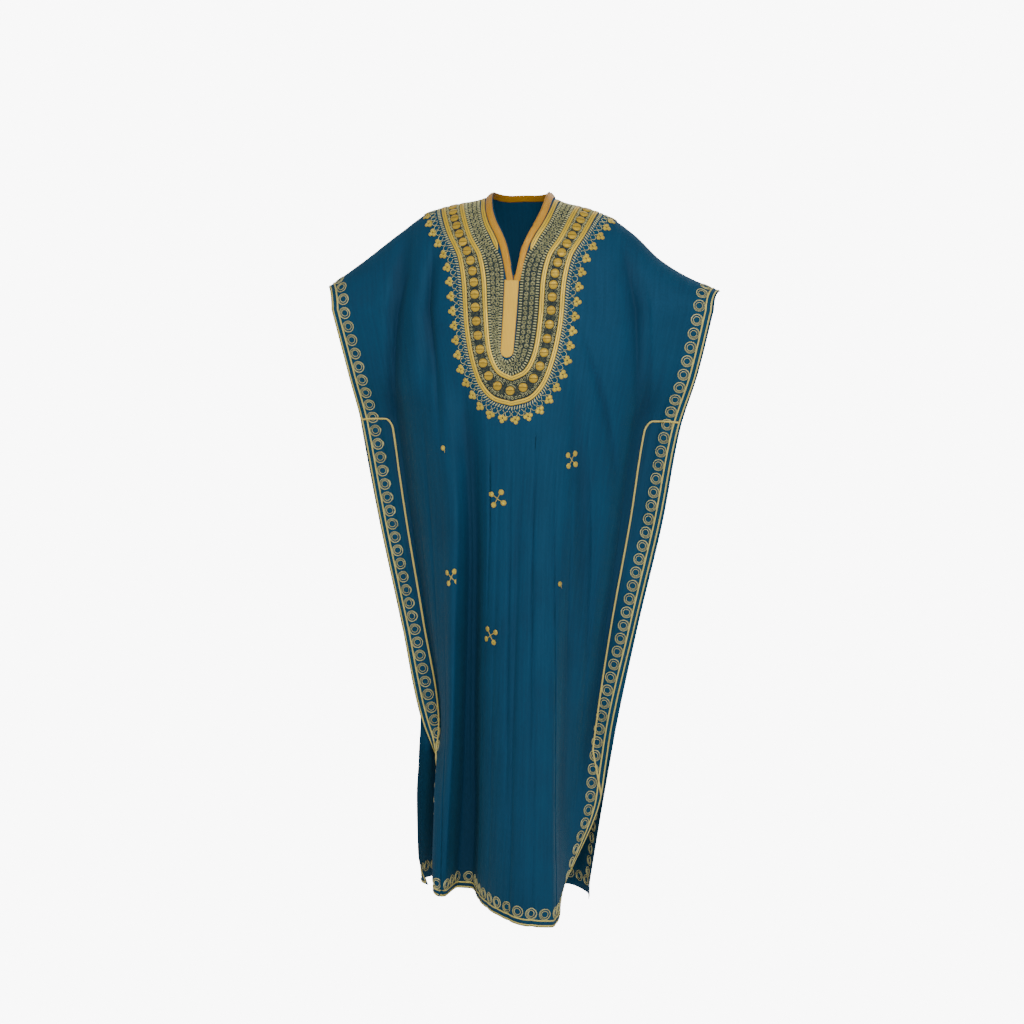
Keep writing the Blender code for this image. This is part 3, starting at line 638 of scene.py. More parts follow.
def braidFinish(name, spec):
    # braid of twisted thread; the UV map runs along it in metres and across it from -0.5 to 0.5.
    # Its colour is painted shade between the strands, between the ribs and towards the edges.
    made, bench, shader = newMaterial(name, {
        "Sheen Weight": 0.15, "Sheen Roughness": 0.4, "Specular IOR Level": 0.5,
        "Anisotropic": 0.3})
    along, across = bench.chart()
    side = abs(across)
    slant = side if spec.get("herring") else across
    turns = along * (1 / spec["pitch"]) + slant * spec["slant"]
    strand = abs(bench.fraction(turns) - 0.5) * 2
    rows = abs(bench.fraction(across * spec["ribs"] + 0.5) - 0.5) * 2
    wander = bench.noise(bench.vector(along * 60.0, across * 2.0), 1.0, 3.0, 0.6)
    fine = bench.noise(bench.vector(along * 1500.0, across * 14.0), 1.0, 2.0, 0.6)
    rib = spec.get("ribShare", 0.4)
    # painted shade: low places between strands and ribs, and the braid's edges, take the shade
    # colour
    height = bench.smooth(strand, 0.0, 0.8) * (1 - rib) + bench.smooth(rows, 0.0, 0.55) * rib
    edge = bench.smooth(side, spec.get("edgeFrom", 0.36), 0.5)
    share = height * 0.72 + wander * 0.30 + fine * 0.16 - edge * spec.get("edgeDark", 0.35)
    colour = bench.mixColour(bench.smooth(share, 0.12, 0.95), spec["shade"], spec["thread"])
    rough = spec["rough"] + 0.16 - height * 0.22
    relief = bench.bump(height + fine * 0.3, spec["relief"], 0.8)
    feed(bench, shader, colour, rough, relief, height * spec["metal"])
    return made


def threadFinish(name, spec):
    # satin stitch on a motif; pale marks its light threads, tone varies from motif to motif, and
    # the colour is painted shade between the stitches
    made, bench, shader = newMaterial(name, {
        "Sheen Weight": 0.12, "Sheen Roughness": 0.4, "Specular IOR Level": 0.5})
    along, across = bench.chart()
    tone = bench.attribute("tone")
    pale = bench.attribute("pale")
    stitch = abs(bench.fraction(along * (1 / spec["pitch"]) + across * spec["slant"]) - 0.5) * 2
    wear = bench.noise(bench.vector(along * 420.0, across * 420.0), 1.0, 2.0, 0.6)
    height = bench.smooth(stitch, 0.0, 0.75)
    # painted shade: low places between stitches take the shade colour; wear and tone vary it at
    # random
    share = height * 0.62 + wear * 0.34 + tone * 0.26
    gold = bench.mixColour(bench.smooth(share, 0.12, 1.0), spec["shade"], spec["thread"])
    light = bench.mixColour(bench.smooth(share, 0.05, 0.9), spec["paleShade"], spec["paleThread"])
    colour = bench.mixColour(pale, gold, light)
    if spec.get("split"):
        line = bench.smooth(abs(across), spec["split"] * 1.7, spec["split"] * 0.5) * (1 - pale)
        colour = bench.mixColour(line, colour, spec["splitColour"])
    relief = bench.bump(height + wear * 0.35, spec["relief"], 0.75)
    rough = spec["rough"] + 0.14 - height * 0.2
    feed(bench, shader, colour, rough, relief, height * spec["metal"])
    return made


# pitch: from stitch to stitch; slant: how the stitches lean; ribs: rows across a braid; shade and
# paleShade: painted shade, the colour between stitches and strands and at a braid's edges
goldThread = {"rough": 0.40, "metal": 0.30, "relief": 0.0004}
braids = {
    "goldBraid": {"pitch": 0.0026, "slant": 1.9, "ribs": 2.0, "ribShare": 0.68, "herring": True,
                  "thread": (0.90, 0.60, 0.045), "shade": (0.13, 0.070, 0.005), "edgeDark": 0.55},
    "lineBraid": {"pitch": 0.0021, "slant": 0.9, "ribs": 1.0, "thread": (0.98, 0.84, 0.22),
                  "shade": (0.50, 0.38, 0.07), "edgeDark": 0.2},
    "placketBraid": {"pitch": 0.0018, "slant": 0.5, "ribs": 9.0, "thread": (1.0, 0.61, 0.050),
                     "shade": (0.88, 0.46, 0.028), "rough": 0.46, "edgeFrom": 0.40,
                     "edgeDark": 0.5},
    "orangeSatin": {"pitch": 0.0012, "slant": 0.2, "ribs": 5.0, "thread": (0.84, 0.40, 0.010),
                    "shade": (0.34, 0.125, 0.002), "rough": 0.32, "metal": 0.2, "edgeFrom": 0.42,
                    "edgeDark": 0.45},
    "twistedCord": {"pitch": 0.0030, "slant": 1.6, "ribs": 1.0, "thread": (0.98, 0.80, 0.22),
                    "shade": (0.50, 0.35, 0.07), "metal": 0.12, "rough": 0.52, "edgeDark": 0.25},
}
threads = {
    "ringThread": {"pitch": 0.0013, "slant": 60.0, "thread": (0.96, 0.90, 0.42),
                   "shade": (0.38, 0.34, 0.12), "paleThread": (0.80, 0.76, 0.42),
                   "paleShade": (0.18, 0.18, 0.08)},
    "discThread": {"pitch": 0.0010, "slant": 0.0, "thread": (0.92, 0.60, 0.045),
                   "shade": (0.32, 0.17, 0.008), "paleThread": (0.86, 0.78, 0.46),
                   "paleShade": (0.24, 0.22, 0.12), "split": 0.0007,
                   "splitColour": (0.24, 0.14, 0.015)},
    "cloverThread": {"pitch": 0.0011, "slant": 300.0, "thread": (0.95, 0.70, 0.080),
                     "shade": (0.40, 0.25, 0.020), "paleThread": (0.92, 0.80, 0.34),
                     "paleShade": (0.34, 0.28, 0.10)},
    "paleThread": {"pitch": 0.0011, "slant": 50.0, "thread": (0.82, 0.78, 0.36),
                   "shade": (0.15, 0.17, 0.08), "paleThread": (0.92, 0.88, 0.42),
                   "paleShade": (0.26, 0.28, 0.13), "metal": 0.12},
}
finishes = {}
for table, finish in ((braids, braidFinish), (threads, threadFinish)):
    for name, spec in table.items():
        finishes[name] = finish(name, {**goldThread, **spec})

# the ground colour is painted shade: the crepe darkened as it is between raised threads; the
# thread colour is the net's own
net = {"ground": (0.0016, 0.015, 0.028), "thread": (0.24, 0.26, 0.10), "meshes": 260.0,
       "loops": 190.0, "wear": 900.0}


def netOverShade():
    # dark ground of the yoke, painted shade between the raised embroidery, crossed by a fine
    # uneven net of pale thread
    made, bench, shader = newMaterial("netOverShade", {
        "Sheen Weight": 0.1, "Specular IOR Level": 0.35})
    place = bench.node("ShaderNodeTexCoord", {}, {}, "Object")
    edges = bench.node("ShaderNodeTexVoronoi", {"feature": "DISTANCE_TO_EDGE"},
                       {"Vector": place, "Scale": net["meshes"]})
    loops = bench.node("ShaderNodeTexVoronoi", {"feature": "F1"},
                       {"Vector": place, "Scale": net["loops"]})
    wear = bench.noise(place, net["wear"], 2.0, 0.6)
    line = bench.smooth(edges, 0.07, 0.015) * 0.55
    ring = bench.smooth(abs(loops - 0.42), 0.07, 0.02)
    thread = bench.math("MAXIMUM", line, ring * 0.6) * (0.30 + wear * 0.6)
    colour = bench.mixColour(thread, net["ground"], net["thread"])
    feed(bench, shader, colour, 0.75 - thread * 0.2, bench.bump(thread, 0.0004, 0.7), thread * 0.1)
    return made


finishes["crepe"] = petrolCrepe()
finishes["net"] = netOverShade()
print("finishes:", len(finishes))

# Geometry Nodes: one tree sews braids along a path, the other sews motifs on at points


def newTree(name, sockets):
    tree = bpy.data.node_groups.new(name, "GeometryNodeTree")
    tree.interface.new_socket("Geometry", in_out="OUTPUT", socket_type="NodeSocketGeometry")
    tree.interface.new_socket("Geometry", in_out="INPUT", socket_type="NodeSocketGeometry")
    for label, kind in sockets:
        tree.interface.new_socket(label, in_out="INPUT", socket_type="NodeSocket" + kind)
    bench = Bench(tree)
    entry = tree.nodes.new("NodeGroupInput")
    given = {socket.name: Term(bench, socket) for socket in entry.outputs if socket.name}
    return tree, bench, given


def read(bench, name, kind="FLOAT"):
    return bench.node("GeometryNodeInputNamedAttribute", {"data_type": kind}, {"Name": name})


def stored(bench, shape, name, value, kind="FLOAT", domain="POINT"):
    return bench.node("GeometryNodeStoreNamedAttribute", {"data_type": kind, "domain": domain},
                      {"Geometry": shape, "Name": name, "Value": value})


def laidOn(bench, shape, given):
    # moves every point onto the guide's surface, then out by its own rise and the lift
    guide = bench.node("GeometryNodeObjectInfo", {}, {"Object": given["Guide"]}, "Geometry")
    near = bench.node("GeometryNodeProximity", {"target_element": "FACES"}, {"Geometry": guide})
    facing = bench.node("GeometryNodeSampleNearestSurface", {"data_type": "FLOAT_VECTOR"},
                        {"Mesh": guide, "Value": bench.node("GeometryNodeInputNormal")})
    height = (read(bench, "rise") + given["Lift"]) * given["Side"]
    out = bench.node("ShaderNodeVectorMath", {"operation": "SCALE"}, {0: facing, "Scale": height})
    place = bench.node("ShaderNodeVectorMath", {"operation": "ADD"}, {0: near, 1: out})
    moved = bench.node("GeometryNodeSetPosition", {}, {"Geometry": shape, "Position": place})
    solid = bench.node("GeometryNodeRealizeInstances", {}, {"Geometry": moved})
    made = bench.node("GeometryNodeSetMaterial", {},
                      {"Geometry": solid, "Material": given["Finish"]})
    leave = bench.tree.nodes.new("NodeGroupOutput")
    bench.tree.links.new(made.socket, leave.inputs[0])


def braidTree():
    tree, bench, given = newTree("sewnBraid", [
        ("Guide", "Object"), ("Finish", "Material"), ("Spacing", "Float"), ("Thick", "Float"),
        ("Square", "Float"), ("Lift", "Float"), ("Side", "Float"), ("Round", "Int")])
    path = bench.node("GeometryNodeMeshToCurve", {}, {"Mesh": given["Geometry"]})
    path = bench.node("GeometryNodeResampleCurve", {"mode": "LENGTH"},
                      {"Curve": path, "Length": given["Spacing"]})
    path = bench.node("GeometryNodeSetCurveNormal", {"mode": "FREE"},
                      {"Curve": path, "Normal": read(bench, "up", "FLOAT_VECTOR")})
    path = stored(bench, path, "run", bench.node("GeometryNodeSplineParameter", {}, {}, "Length"))
    profile = bench.node("GeometryNodeCurvePrimitiveCircle", {"mode": "RADIUS"},
                         {"Resolution": given["Round"], "Radius": 0.5})
    x, y, _ = bench.split(bench.node("GeometryNodeInputPosition"))
    top = bench.math("MAXIMUM", y, 0.0) * 2
    rise = (top ** given["Square"]) * given["Thick"]
    profile = stored(bench, profile, "rise", rise)
    profile = stored(bench, profile, "across", x)
    flat = bench.vector(y * -0.002, x, 0.0)
    profile = bench.node("GeometryNodeSetPosition", {}, {"Geometry": profile, "Position": flat})
    shape = bench.node("GeometryNodeCurveToMesh", {}, {
        "Curve": path, "Profile Curve": profile, "Scale": read(bench, "wide"), "Fill Caps": True})
    chart = bench.vector(read(bench, "run"), read(bench, "across"), 0.0)
    shape = stored(bench, shape, "UVMap", chart, "FLOAT2", "CORNER")
    laidOn(bench, shape, given)
    return tree


def motifTree():
    tree, bench, given = newTree("sewnMotifs", [
        ("Guide", "Object"), ("Finish", "Material"), ("Motif", "Object"), ("Lift", "Float"),
        ("Side", "Float"), ("Seed", "Int")])
    motif = bench.node("GeometryNodeObjectInfo", {}, {"Object": given["Motif"]}, "Geometry")
    upright = bench.node("FunctionNodeAlignRotationToVector", {"axis": "Z"},
                         {"Vector": read(bench, "up", "FLOAT_VECTOR")})
    turned = bench.node("FunctionNodeAlignRotationToVector", {"axis": "X", "pivot_axis": "Z"},
                        {"Rotation": upright, "Vector": read(bench, "along", "FLOAT_VECTOR")})
    tone = bench.node("FunctionNodeRandomValue", {"data_type": "FLOAT"},
                      {"Min": 0.0, "Max": 1.0, "Seed": given["Seed"]})
    points = stored(bench, given["Geometry"], "tone", tone)
    shape = bench.node("GeometryNodeInstanceOnPoints", {}, {
        "Points": points, "Instance": motif, "Rotation": turned})
    shape = bench.node("GeometryNodeRealizeInstances", {}, {"Geometry": shape})
    laidOn(bench, shape, given)
    return tree


trees = {"braid": braidTree(), "motif": motifTree()}
guides = {}
for name, parts in (("front", [frontMesh]), ("back", [backMesh]), ("both", [frontMesh, backMesh])):
    build = bmesh.new()
    for part in parts:
        build.from_mesh(part)
    guideMesh = bpy.data.meshes.new(name + "Guide")  # what the trees lay their work on
    build.to_mesh(guideMesh)
    build.free()
    guides[name] = bpy.data.objects.new(name + "Guide", guideMesh)
    garment.objects.link(guides[name])
toRemove = list(guides.values())
pieces = {}


def keep(name, mesh, slot):
    # one piece, and the slot of the record that its finish comes from
    piece = bpy.data.objects.new(name, mesh)
    garment.objects.link(piece)
    pieces[name] = (piece, slot)
    return piece


def faceOut(mesh):
    build = bmesh.new()
    build.from_mesh(mesh)
    bmesh.ops.recalc_face_normals(build, faces=build.faces)
    build.to_mesh(mesh)
    build.free()
    mesh.shade_smooth()


def sewOn(name, source, tree, values, slot):
    # runs a tree on the source mesh and keeps the result as a plain mesh
    piece = keep(name, source, slot)
    live = piece.modifiers.new("sewing", "NODES")
    live.node_group = tree
    for item in tree.interface.items_tree:
        if item.in_out == "INPUT" and item.name in values:
            live[item.identifier] = values[item.name]
    graph = bpy.context.evaluated_depsgraph_get()
    made = bpy.data.meshes.new_from_object(piece.evaluated_get(graph),
                                           preserve_all_data_layers=True, depsgraph=graph)
    piece.modifiers.clear()
    piece.data = made
    made.name = name
    faceOut(made)
    print("sewn:", name, len(made.polygons), "faces")


def pathMesh(name, line, widths):
    # a path as a chain of edges, with the cloth's facing and the braid's width at each point
    at, up, closed = line
    count = len(at)
    edges = [(i, (i + 1) % count) for i in range(count if closed else count - 1)]
    mesh = bpy.data.meshes.new(name)
    mesh.from_pydata(at.tolist(), edges, [])
    mark(mesh, "up", up)
    mark(mesh, "wide", np.broadcast_to(widths, count))
    return mesh


def pointMesh(name, at, up, along):
    # a point for each motif, with the cloth's facing and the way the motif's side points
    mesh = bpy.data.meshes.new(name)
    mesh.from_pydata(at.tolist(), [], [])
    mark(mesh, "up", up)
    mark(mesh, "along", along)
    return mesh


def strips(rows, columns, wrap=False):
    # quads between rings of points; wrap joins the last ring to the first
    after = [(k + 1) % columns for k in range(columns)]
    return [(i * columns + k, i * columns + after[k], (i + 1) % rows * columns + after[k],
             (i + 1) % rows * columns + k)
            for i in range(rows if wrap else rows - 1) for k in range(columns)]


def stripChart(run, across):
    # UV corners of the strips, in the same order
    return [[(a, low), (a, top), (b, top), (b, low)]
            for a, b in zip(run, run[1:]) for low, top in zip(across, across[1:])]


# a line on the cloth is its places, the cloth's facing there, and whether it closes

def onPanel(panel, u, v):
    u, v = np.asarray(u, float), np.asarray(v, float)
    return panel.place(u, v), panel.outward(u, v)


def seen(x, z, surface=frontSurface, side=-1):
    # places on a panel that are seen at x and z from straight ahead of it
    at, up = [], []
    for ax, az in zip(x, z):
        hit, normal, _, _ = surface.ray_cast(Vector((ax, side, az)), Vector((0, -side, 0)))
        if hit is None:
            hit, normal, _, _ = surface.find_nearest(Vector((ax, 0, az)))
        at.append(hit)
        up.append(normal)
    return np.array(at), np.array(up)


def joined(*parts, closed=False):
    return (np.concatenate([p[0] for p in parts]), np.concatenate([p[1] for p in parts]), closed)


def halfOutline(corners, sign, count, trim=True):
    # evenly spaced x and z along half an outline, from the shoulder line to the middle
    fine = smoothCurve(np.arange(len(corners)), corners, np.linspace(0, len(corners) - 1, 600))
    if trim:
        fine = fine[fine[:, 1] < shoulderHeight(sign * fine[:, 0]) - 0.0004]
    run = travelled(fine)
    even = np.linspace(0, run[-1], count + 1)
    return np.stack([sign * np.interp(even, run, fine[:, 0]), np.interp(even, run, fine[:, 1])], 1)


def stations(line, pitch, phase=0.5, spare=None, most=None):
    # places a pitch apart along a line; spare is the room across at each point of the line
    at, up, closed = line
    ring = slice(0, 1 if closed else 0)
    loop, facing = np.concatenate([at, at[ring]]), np.concatenate([up, up[ring]])
    step = np.linalg.norm(np.diff(loop, axis=0), axis=1)
    run = np.concatenate([[0], np.cumsum(step)])
    tally = run / pitch if not callable(pitch) else np.concatenate(
        [[0], np.cumsum(step / pitch((loop[1:, 2] + loop[:-1, 2]) / 2))])
    count = max(1, round(tally[-1]))
    where = np.interp((np.arange(count) + phase) * tally[-1] / count, tally, run)

    def along(values, places):
        return np.stack([np.interp(places, run, values[:, i]) for i in range(3)], 1)

    place, normal = along(loop, where), along(facing, where)
    ahead = (along(loop, np.minimum(where + 0.001, run[-1]))
             - along(loop, np.maximum(where - 0.001, 0)))
    if spare is not None:
        fits = np.interp(where, run, np.concatenate([spare, spare[ring]])) > most
        place, normal, ahead = place[fits], normal[fits], ahead[fits]
    return place, normal, ahead


def addBraid(name, line, width, finish, slot="gold_braid", thick=0.0010, square=0.5, lift=0.0013,
             side=1.0, guide="both", spacing=0.004, points=14):
    sewOn(name, pathMesh(name + "Path", line, width), trees["braid"], {
        "Guide": guides[guide], "Finish": finishes[finish], "Spacing": spacing, "Thick": thick,
        "Square": square, "Lift": lift, "Side": side, "Round": points}, slot)


# neckband, neck braid and placket; away: from the neck's edge to the middle of the piece

neck = {"bandAway": 0.0064, "bandWide": 0.0126, "bandLow": -0.147, "pipingAway": 0.0004,
        "pipingRadius": 0.0014, "pipingLow": -0.122, "braidAway": 0.0180, "braidWide": 0.0092,
        "braidLow": -0.092, "placketZ": (-0.146, -0.286), "placketX": (-0.003, -0.010),
        "placketWide": (0.0270, 0.0240), "placketRound": 0.012}


def neckLine(away, low):
    # round the neck at a distance from its edge, and down each side of the slit
    edge = halfOutline(kaftanCut["neckEdge"], 1, 60, trim=False)
    along = unit(np.gradient(edge, axis=0))
    beside = np.stack([edge[:, 0] - along[:, 1] * away, edge[:, 1] + along[:, 0] * away], axis=1)
    beside = beside[(beside[:, 1] >= low) & (beside[:, 1] < shoulderHeight(beside[:, 0]) - 0.002)]
    reach = kaftanCut["neckHalf"] + away / kaftanCut["reach"]
    drop = kaftanCut["backNeck"] + away / kaftanCut["cutLength"]
    arc = np.linspace(0, math.pi, 41)
    behind = onPanel(backSheet, -reach * np.cos(arc), drop * np.sin(arc))
    left = seen(-beside[::-1, 0], beside[::-1, 1])
    return joined(left, behind, seen(beside[:, 0], beside[:, 1]))


def addPiping(name, line, radius, finish, slot, sides=8):
    # a plain round cord along a line, its UV map along it and round it
    at, up, _ = line
    ahead = unit(np.gradient(at, axis=0))
    out = unit(np.cross(ahead, up))
    turn = np.arange(sides) * 2 * math.pi / sides
    points = [tuple(p + radius * (math.cos(a) * o + math.sin(a) * n))
              for p, o, n in zip(at, out, np.cross(out, ahead)) for a in turn]
    last = (len(at) - 1) * sides
    caps = [tuple(range(start, start + sides)) for start in (0, last)]
    mesh = bpy.data.meshes.new(name)
    mesh.from_pydata(points, [], strips(len(at), sides) + caps)
    across = [k / sides - 0.5 for k in range(sides + 1)]
    corners = stripChart(travelled(at), across) + [[(0.0, 0.0)] * sides] * 2
    drawChart(mesh, [corner for face in corners for corner in face])
    faceOut(mesh)
    mesh.materials.append(finishes[finish])
    keep(name, mesh, slot)


band = neckLine(neck["bandAway"], neck["bandLow"])
addBraid("neckbandSatin", band, neck["bandWide"], "orangeSatin", "satin", 0.0014, 0.45)
addBraid("neckFacing", band, neck["bandWide"], "orangeSatin", "satin", 0.0005, 0.4, 0.0009, -1.0)
addPiping("neckPiping", neckLine(neck["pipingAway"], neck["pipingLow"]), neck["pipingRadius"],
          "orangeSatin", "satin")
outer = neckLine(neck["braidAway"], neck["braidLow"])
fromEnd = np.minimum(np.arange(len(outer[0])), np.arange(len(outer[0]))[::-1])
addBraid("neckBraid", outer, neck["braidWide"] * np.clip(fromEnd / 6 + 0.25, 0, 1), "goldBraid",
         thick=0.0013)

top, end = neck["placketZ"]
placketZ = np.linspace(top, end, 80)
placketX, wide = [first + (last - first) * ((top - placketZ) / (top - end))
                  for first, last in (neck["placketX"], neck["placketWide"])]
roundEnd = np.clip((placketZ - end) / neck["placketRound"], 0, 1)
wide = wide * np.maximum(np.sqrt(1 - (1 - roundEnd) ** 2), 0.05)
addBraid("placketBraid", joined(seen(placketX, placketZ)), wide, "placketBraid", thick=0.0013,
         square=0.3, guide="front", spacing=0.002, points=20)
print("neck: band, facing, piping, braid and placket")

# yoke: lines at a level, 0 beside the neckband, 1 and 2 at the gold braids, 3 the outside

yoke = {
    "outlines": [
        [(0.0760, 0.010), (0.0705, -0.013), (0.0610, -0.038), (0.0485, -0.062), (0.0388, -0.080),
         (0.0268, -0.094), (0.0186, -0.110), (0.0150, -0.128), (0.0143, -0.146), (0.0141, -0.172),
         (0.0141, -0.215), (0.0134, -0.266), (0.0108, -0.283), (0.0, -0.2905)],
        [(0.112, 0.000), (0.085, -0.066), (0.063, -0.104), (0.054, -0.150), (0.051, -0.205),
         (0.043, -0.272), (0.024, -0.312), (0.000, -0.324)],
        [(0.150, 0.000), (0.124, -0.060), (0.100, -0.106), (0.091, -0.155), (0.087, -0.215),
         (0.077, -0.275), (0.056, -0.335), (0.030, -0.361), (0.000, -0.369)],
        [(0.196, 0.000), (0.172, -0.046), (0.155, -0.074), (0.139, -0.100), (0.126, -0.142),
         (0.119, -0.198), (0.112, -0.245), (0.101, -0.308), (0.079, -0.354), (0.046, -0.392),
         (0.0, -0.406)]],
    "backDrops": [0.0725, 0.0750, 0.1050, 0.1340], "points": 110, "backPoints": 61,
    "braidWide": 0.0092, "netLevels": (0.02, 1.98), "netRows": 15, "netLift": 0.0012,
    "netThick": 0.0004,
}


def yokeLine(level):
    low = min(int(level), 2)
    share = level - low
    halves = []
    for sign in (1, -1):
        first, second = [halfOutline(yoke["outlines"][k], sign, yoke["points"])
                         for k in (low, low + 1)]
        if low == 0:  # the inside follows the placket, which leans
            first[:, 0] += np.interp(-first[:, 1], (0.04, 0.146, 0.286), (0.0, *neck["placketX"]))
        halves.append(first * (1 - share) + second * share)
    right, left = halves
    drop = np.interp(level, range(4), yoke["backDrops"])
    arc = np.linspace(0, math.pi, yoke["backPoints"] + 2)[1:-1]
    reach = np.where(arc < math.pi / 2, -left[0, 0], right[0, 0]) / kaftanCut["reach"]
    behind = onPanel(backSheet, -reach * np.cos(arc), drop * np.sin(arc))
    return joined(seen(*right.T), seen(*left[-2::-1].T), behind, closed=True)


yokeEnds = [yokeLine(level) for level in range(4)]


def thicken(piece, thickness):
    wall = piece.modifiers.new("thickness", "SOLIDIFY")
    wall.thickness = thickness
    wall.offset = 0


def addNet(name):
    # the embroidered ground inside the outer braid, as a thin sheet on the cloth; its dark ground
    # colour is painted shade between the raised embroidery
    lines = [yokeLine(level) for level in np.linspace(*yoke["netLevels"], yoke["netRows"])]
    count = len(lines[0][0])
    both = surfaceOf(frontMesh, backMesh)
    points = []
    for at, _, _ in lines:
        for place in at:
            hit, normal, _, _ = both.find_nearest(Vector(place))
            points.append(tuple(hit + normal * yoke["netLift"]))
    mesh = bpy.data.meshes.new(name)
    mesh.from_pydata(points, [], strips(yoke["netRows"], count))
    mesh.shade_smooth()
    mesh.materials.append(finishes["net"])
    thicken(keep(name, mesh, "gold_braid"), yoke["netThick"])


addNet("yokeGround")
addBraid("yokeBraidInner", yokeEnds[1], yoke["braidWide"], "goldBraid", thick=0.0014)
addBraid("yokeBraidOuter", yokeEnds[2], yoke["braidWide"], "goldBraid", thick=0.0014)
print("yoke: ground and two braids")


def arc(turn, wide, high):
    return np.stack([wide * np.cos(turn), high * np.sin(turn)], 1)


class Motif:
    # collects the faces of one embroidered motif; threads have a three-sided section
    def __init__(self):
        self.points, self.faces, self.chart, self.pale = [], [], [], []

    def add(self, points, faces, chart, pale):
        first = len(self.points)
        self.points += [tuple(p) for p in points]
        self.pale += [pale] * len(points)
        self.faces += [tuple(first + i for i in face) for face in faces]
        self.chart += chart
        return self

    def thread(self, line, wide, high, closed=False, pale=0.0):
        line = np.asarray(line, float)
        count = len(line)
        around = np.roll(line, -1, 0) - np.roll(line, 1, 0)
        ahead = unit(around if closed else np.gradient(line, axis=0))
        out = np.stack([ahead[:, 1], -ahead[:, 0]], 1) * wide / 2
        points = []
        for (x, y), (dx, dy) in zip(line, out):
            points += [(x + dx, y + dy, 0), (x, y, high), (x - dx, y - dy, 0)]
        run = travelled(np.concatenate([line, line[:closed]]))
        faces = strips(count, 3, closed)
        chart = stripChart(run, [-0.0005, 0.0, 0.0005, 0.0010])
        if not closed:
            last = 3 * (count - 1)
            faces += [(2, 1, 0), (last, last + 1, last + 2)]
            chart += [[(0, 0)] * 3, [(0, 0)] * 3]
        return self.add(points, faces, chart, pale)

    def ring(self, radius, wide, high, segments, centre=(0, 0), pale=0.0):
        turn = np.arange(segments) * 2 * math.pi / segments
        middle = radius - wide / 2
        return self.thread(arc(turn, middle, middle) + centre, wide, high, True, pale)

    def disc(self, radius, high, segments, centre=(0, 0), pale=0.0):
        # a low dome: rings of points, as shares of the radius and the height, and its top
        cx, cy = centre
        turn = np.arange(segments) * 2 * math.pi / segments
        points = [(cx + radius * s * math.cos(a), cy + radius * s * math.sin(a), high * h)
                  for s, h in ((1.0, 0.0), (0.93, 0.62), (0.55, 0.96)) for a in turn]
        points.append((cx, cy, high))
        faces = [tuple(range(segments))[::-1]] + strips(3, segments)
        top, last = len(points) - 1, 2 * segments
        faces += [(last + i, last + (i + 1) % segments, top) for i in range(segments)]
        chart = [[(points[i][0] - cx, points[i][1] - cy) for i in face] for face in faces]
        return self.add(points, faces, chart, pale)

    def bar(self, long, wide, high, slant=0.0, centre=(0, 0), pale=0.0):
        # a rung: it lies across the path, its top a little narrower than its foot
        points = []
        for share, height in ((1.0, 0.0), (0.72, high)):
            for sx, sy in ((-1, -1), (1, -1), (1, 1), (-1, 1)):
                y = sy * long / 2 * (0.6 + 0.4 * share)
                x = centre[0] + sx * wide / 2 * share + y * slant
                points.append((x, centre[1] + y, height))
        faces = [(3, 2, 1, 0), (4, 5, 6, 7)] + strips(2, 4)
        return self.add(points, faces, [[points[i][:2] for i in face] for face in faces], pale)

    def made(self, name):
        # the motif laid flat, its heights kept as the rise of each point
        mesh = bpy.data.meshes.new(name)
        mesh.from_pydata([(x, y, 0) for x, y, _ in self.points], [], self.faces)
        drawChart(mesh, [corner for face in self.chart for corner in face])
        mark(mesh, "rise", [p[2] for p in self.points])
        mark(mesh, "pale", self.pale)
        holder = bpy.data.objects.new(name, mesh)
        garment.objects.link(holder)
        toRemove.append(holder)
        return holder


def addMotifs(name, spots, motif, finish, guide="both", lift=0.0011, side=1.0, seed=3):
    sewOn(name, pointMesh(name + "Points", *spots), trees["motif"], {
        "Guide": guides[guide], "Finish": finishes[finish], "Motif": motif.made(name + "Motif"),
        "Lift": lift, "Side": side, "Seed": seed}, "gold_braid")


def levelled(spots, way=1.0):
    # every motif's side points level across the cloth
    return spots[0], spots[1], np.tile([way, 0.0, 0.0], (len(spots[0]), 1))


def turned(spots, seed, most=math.pi):
    # each motif turned about the cloth's facing by its own angle
    at, up, along = spots
    angle = np.random.default_rng(seed).uniform(-most, most, len(at))[:, None]
    along = unit(along)
    return at, up, along * np.cos(angle) + np.cross(up, along) * np.sin(angle)


# yoke motifs, from the neck outwards; rows are levels of the yoke, room the least width there,
# and a pitch that changes with height is a table of heights and pitches

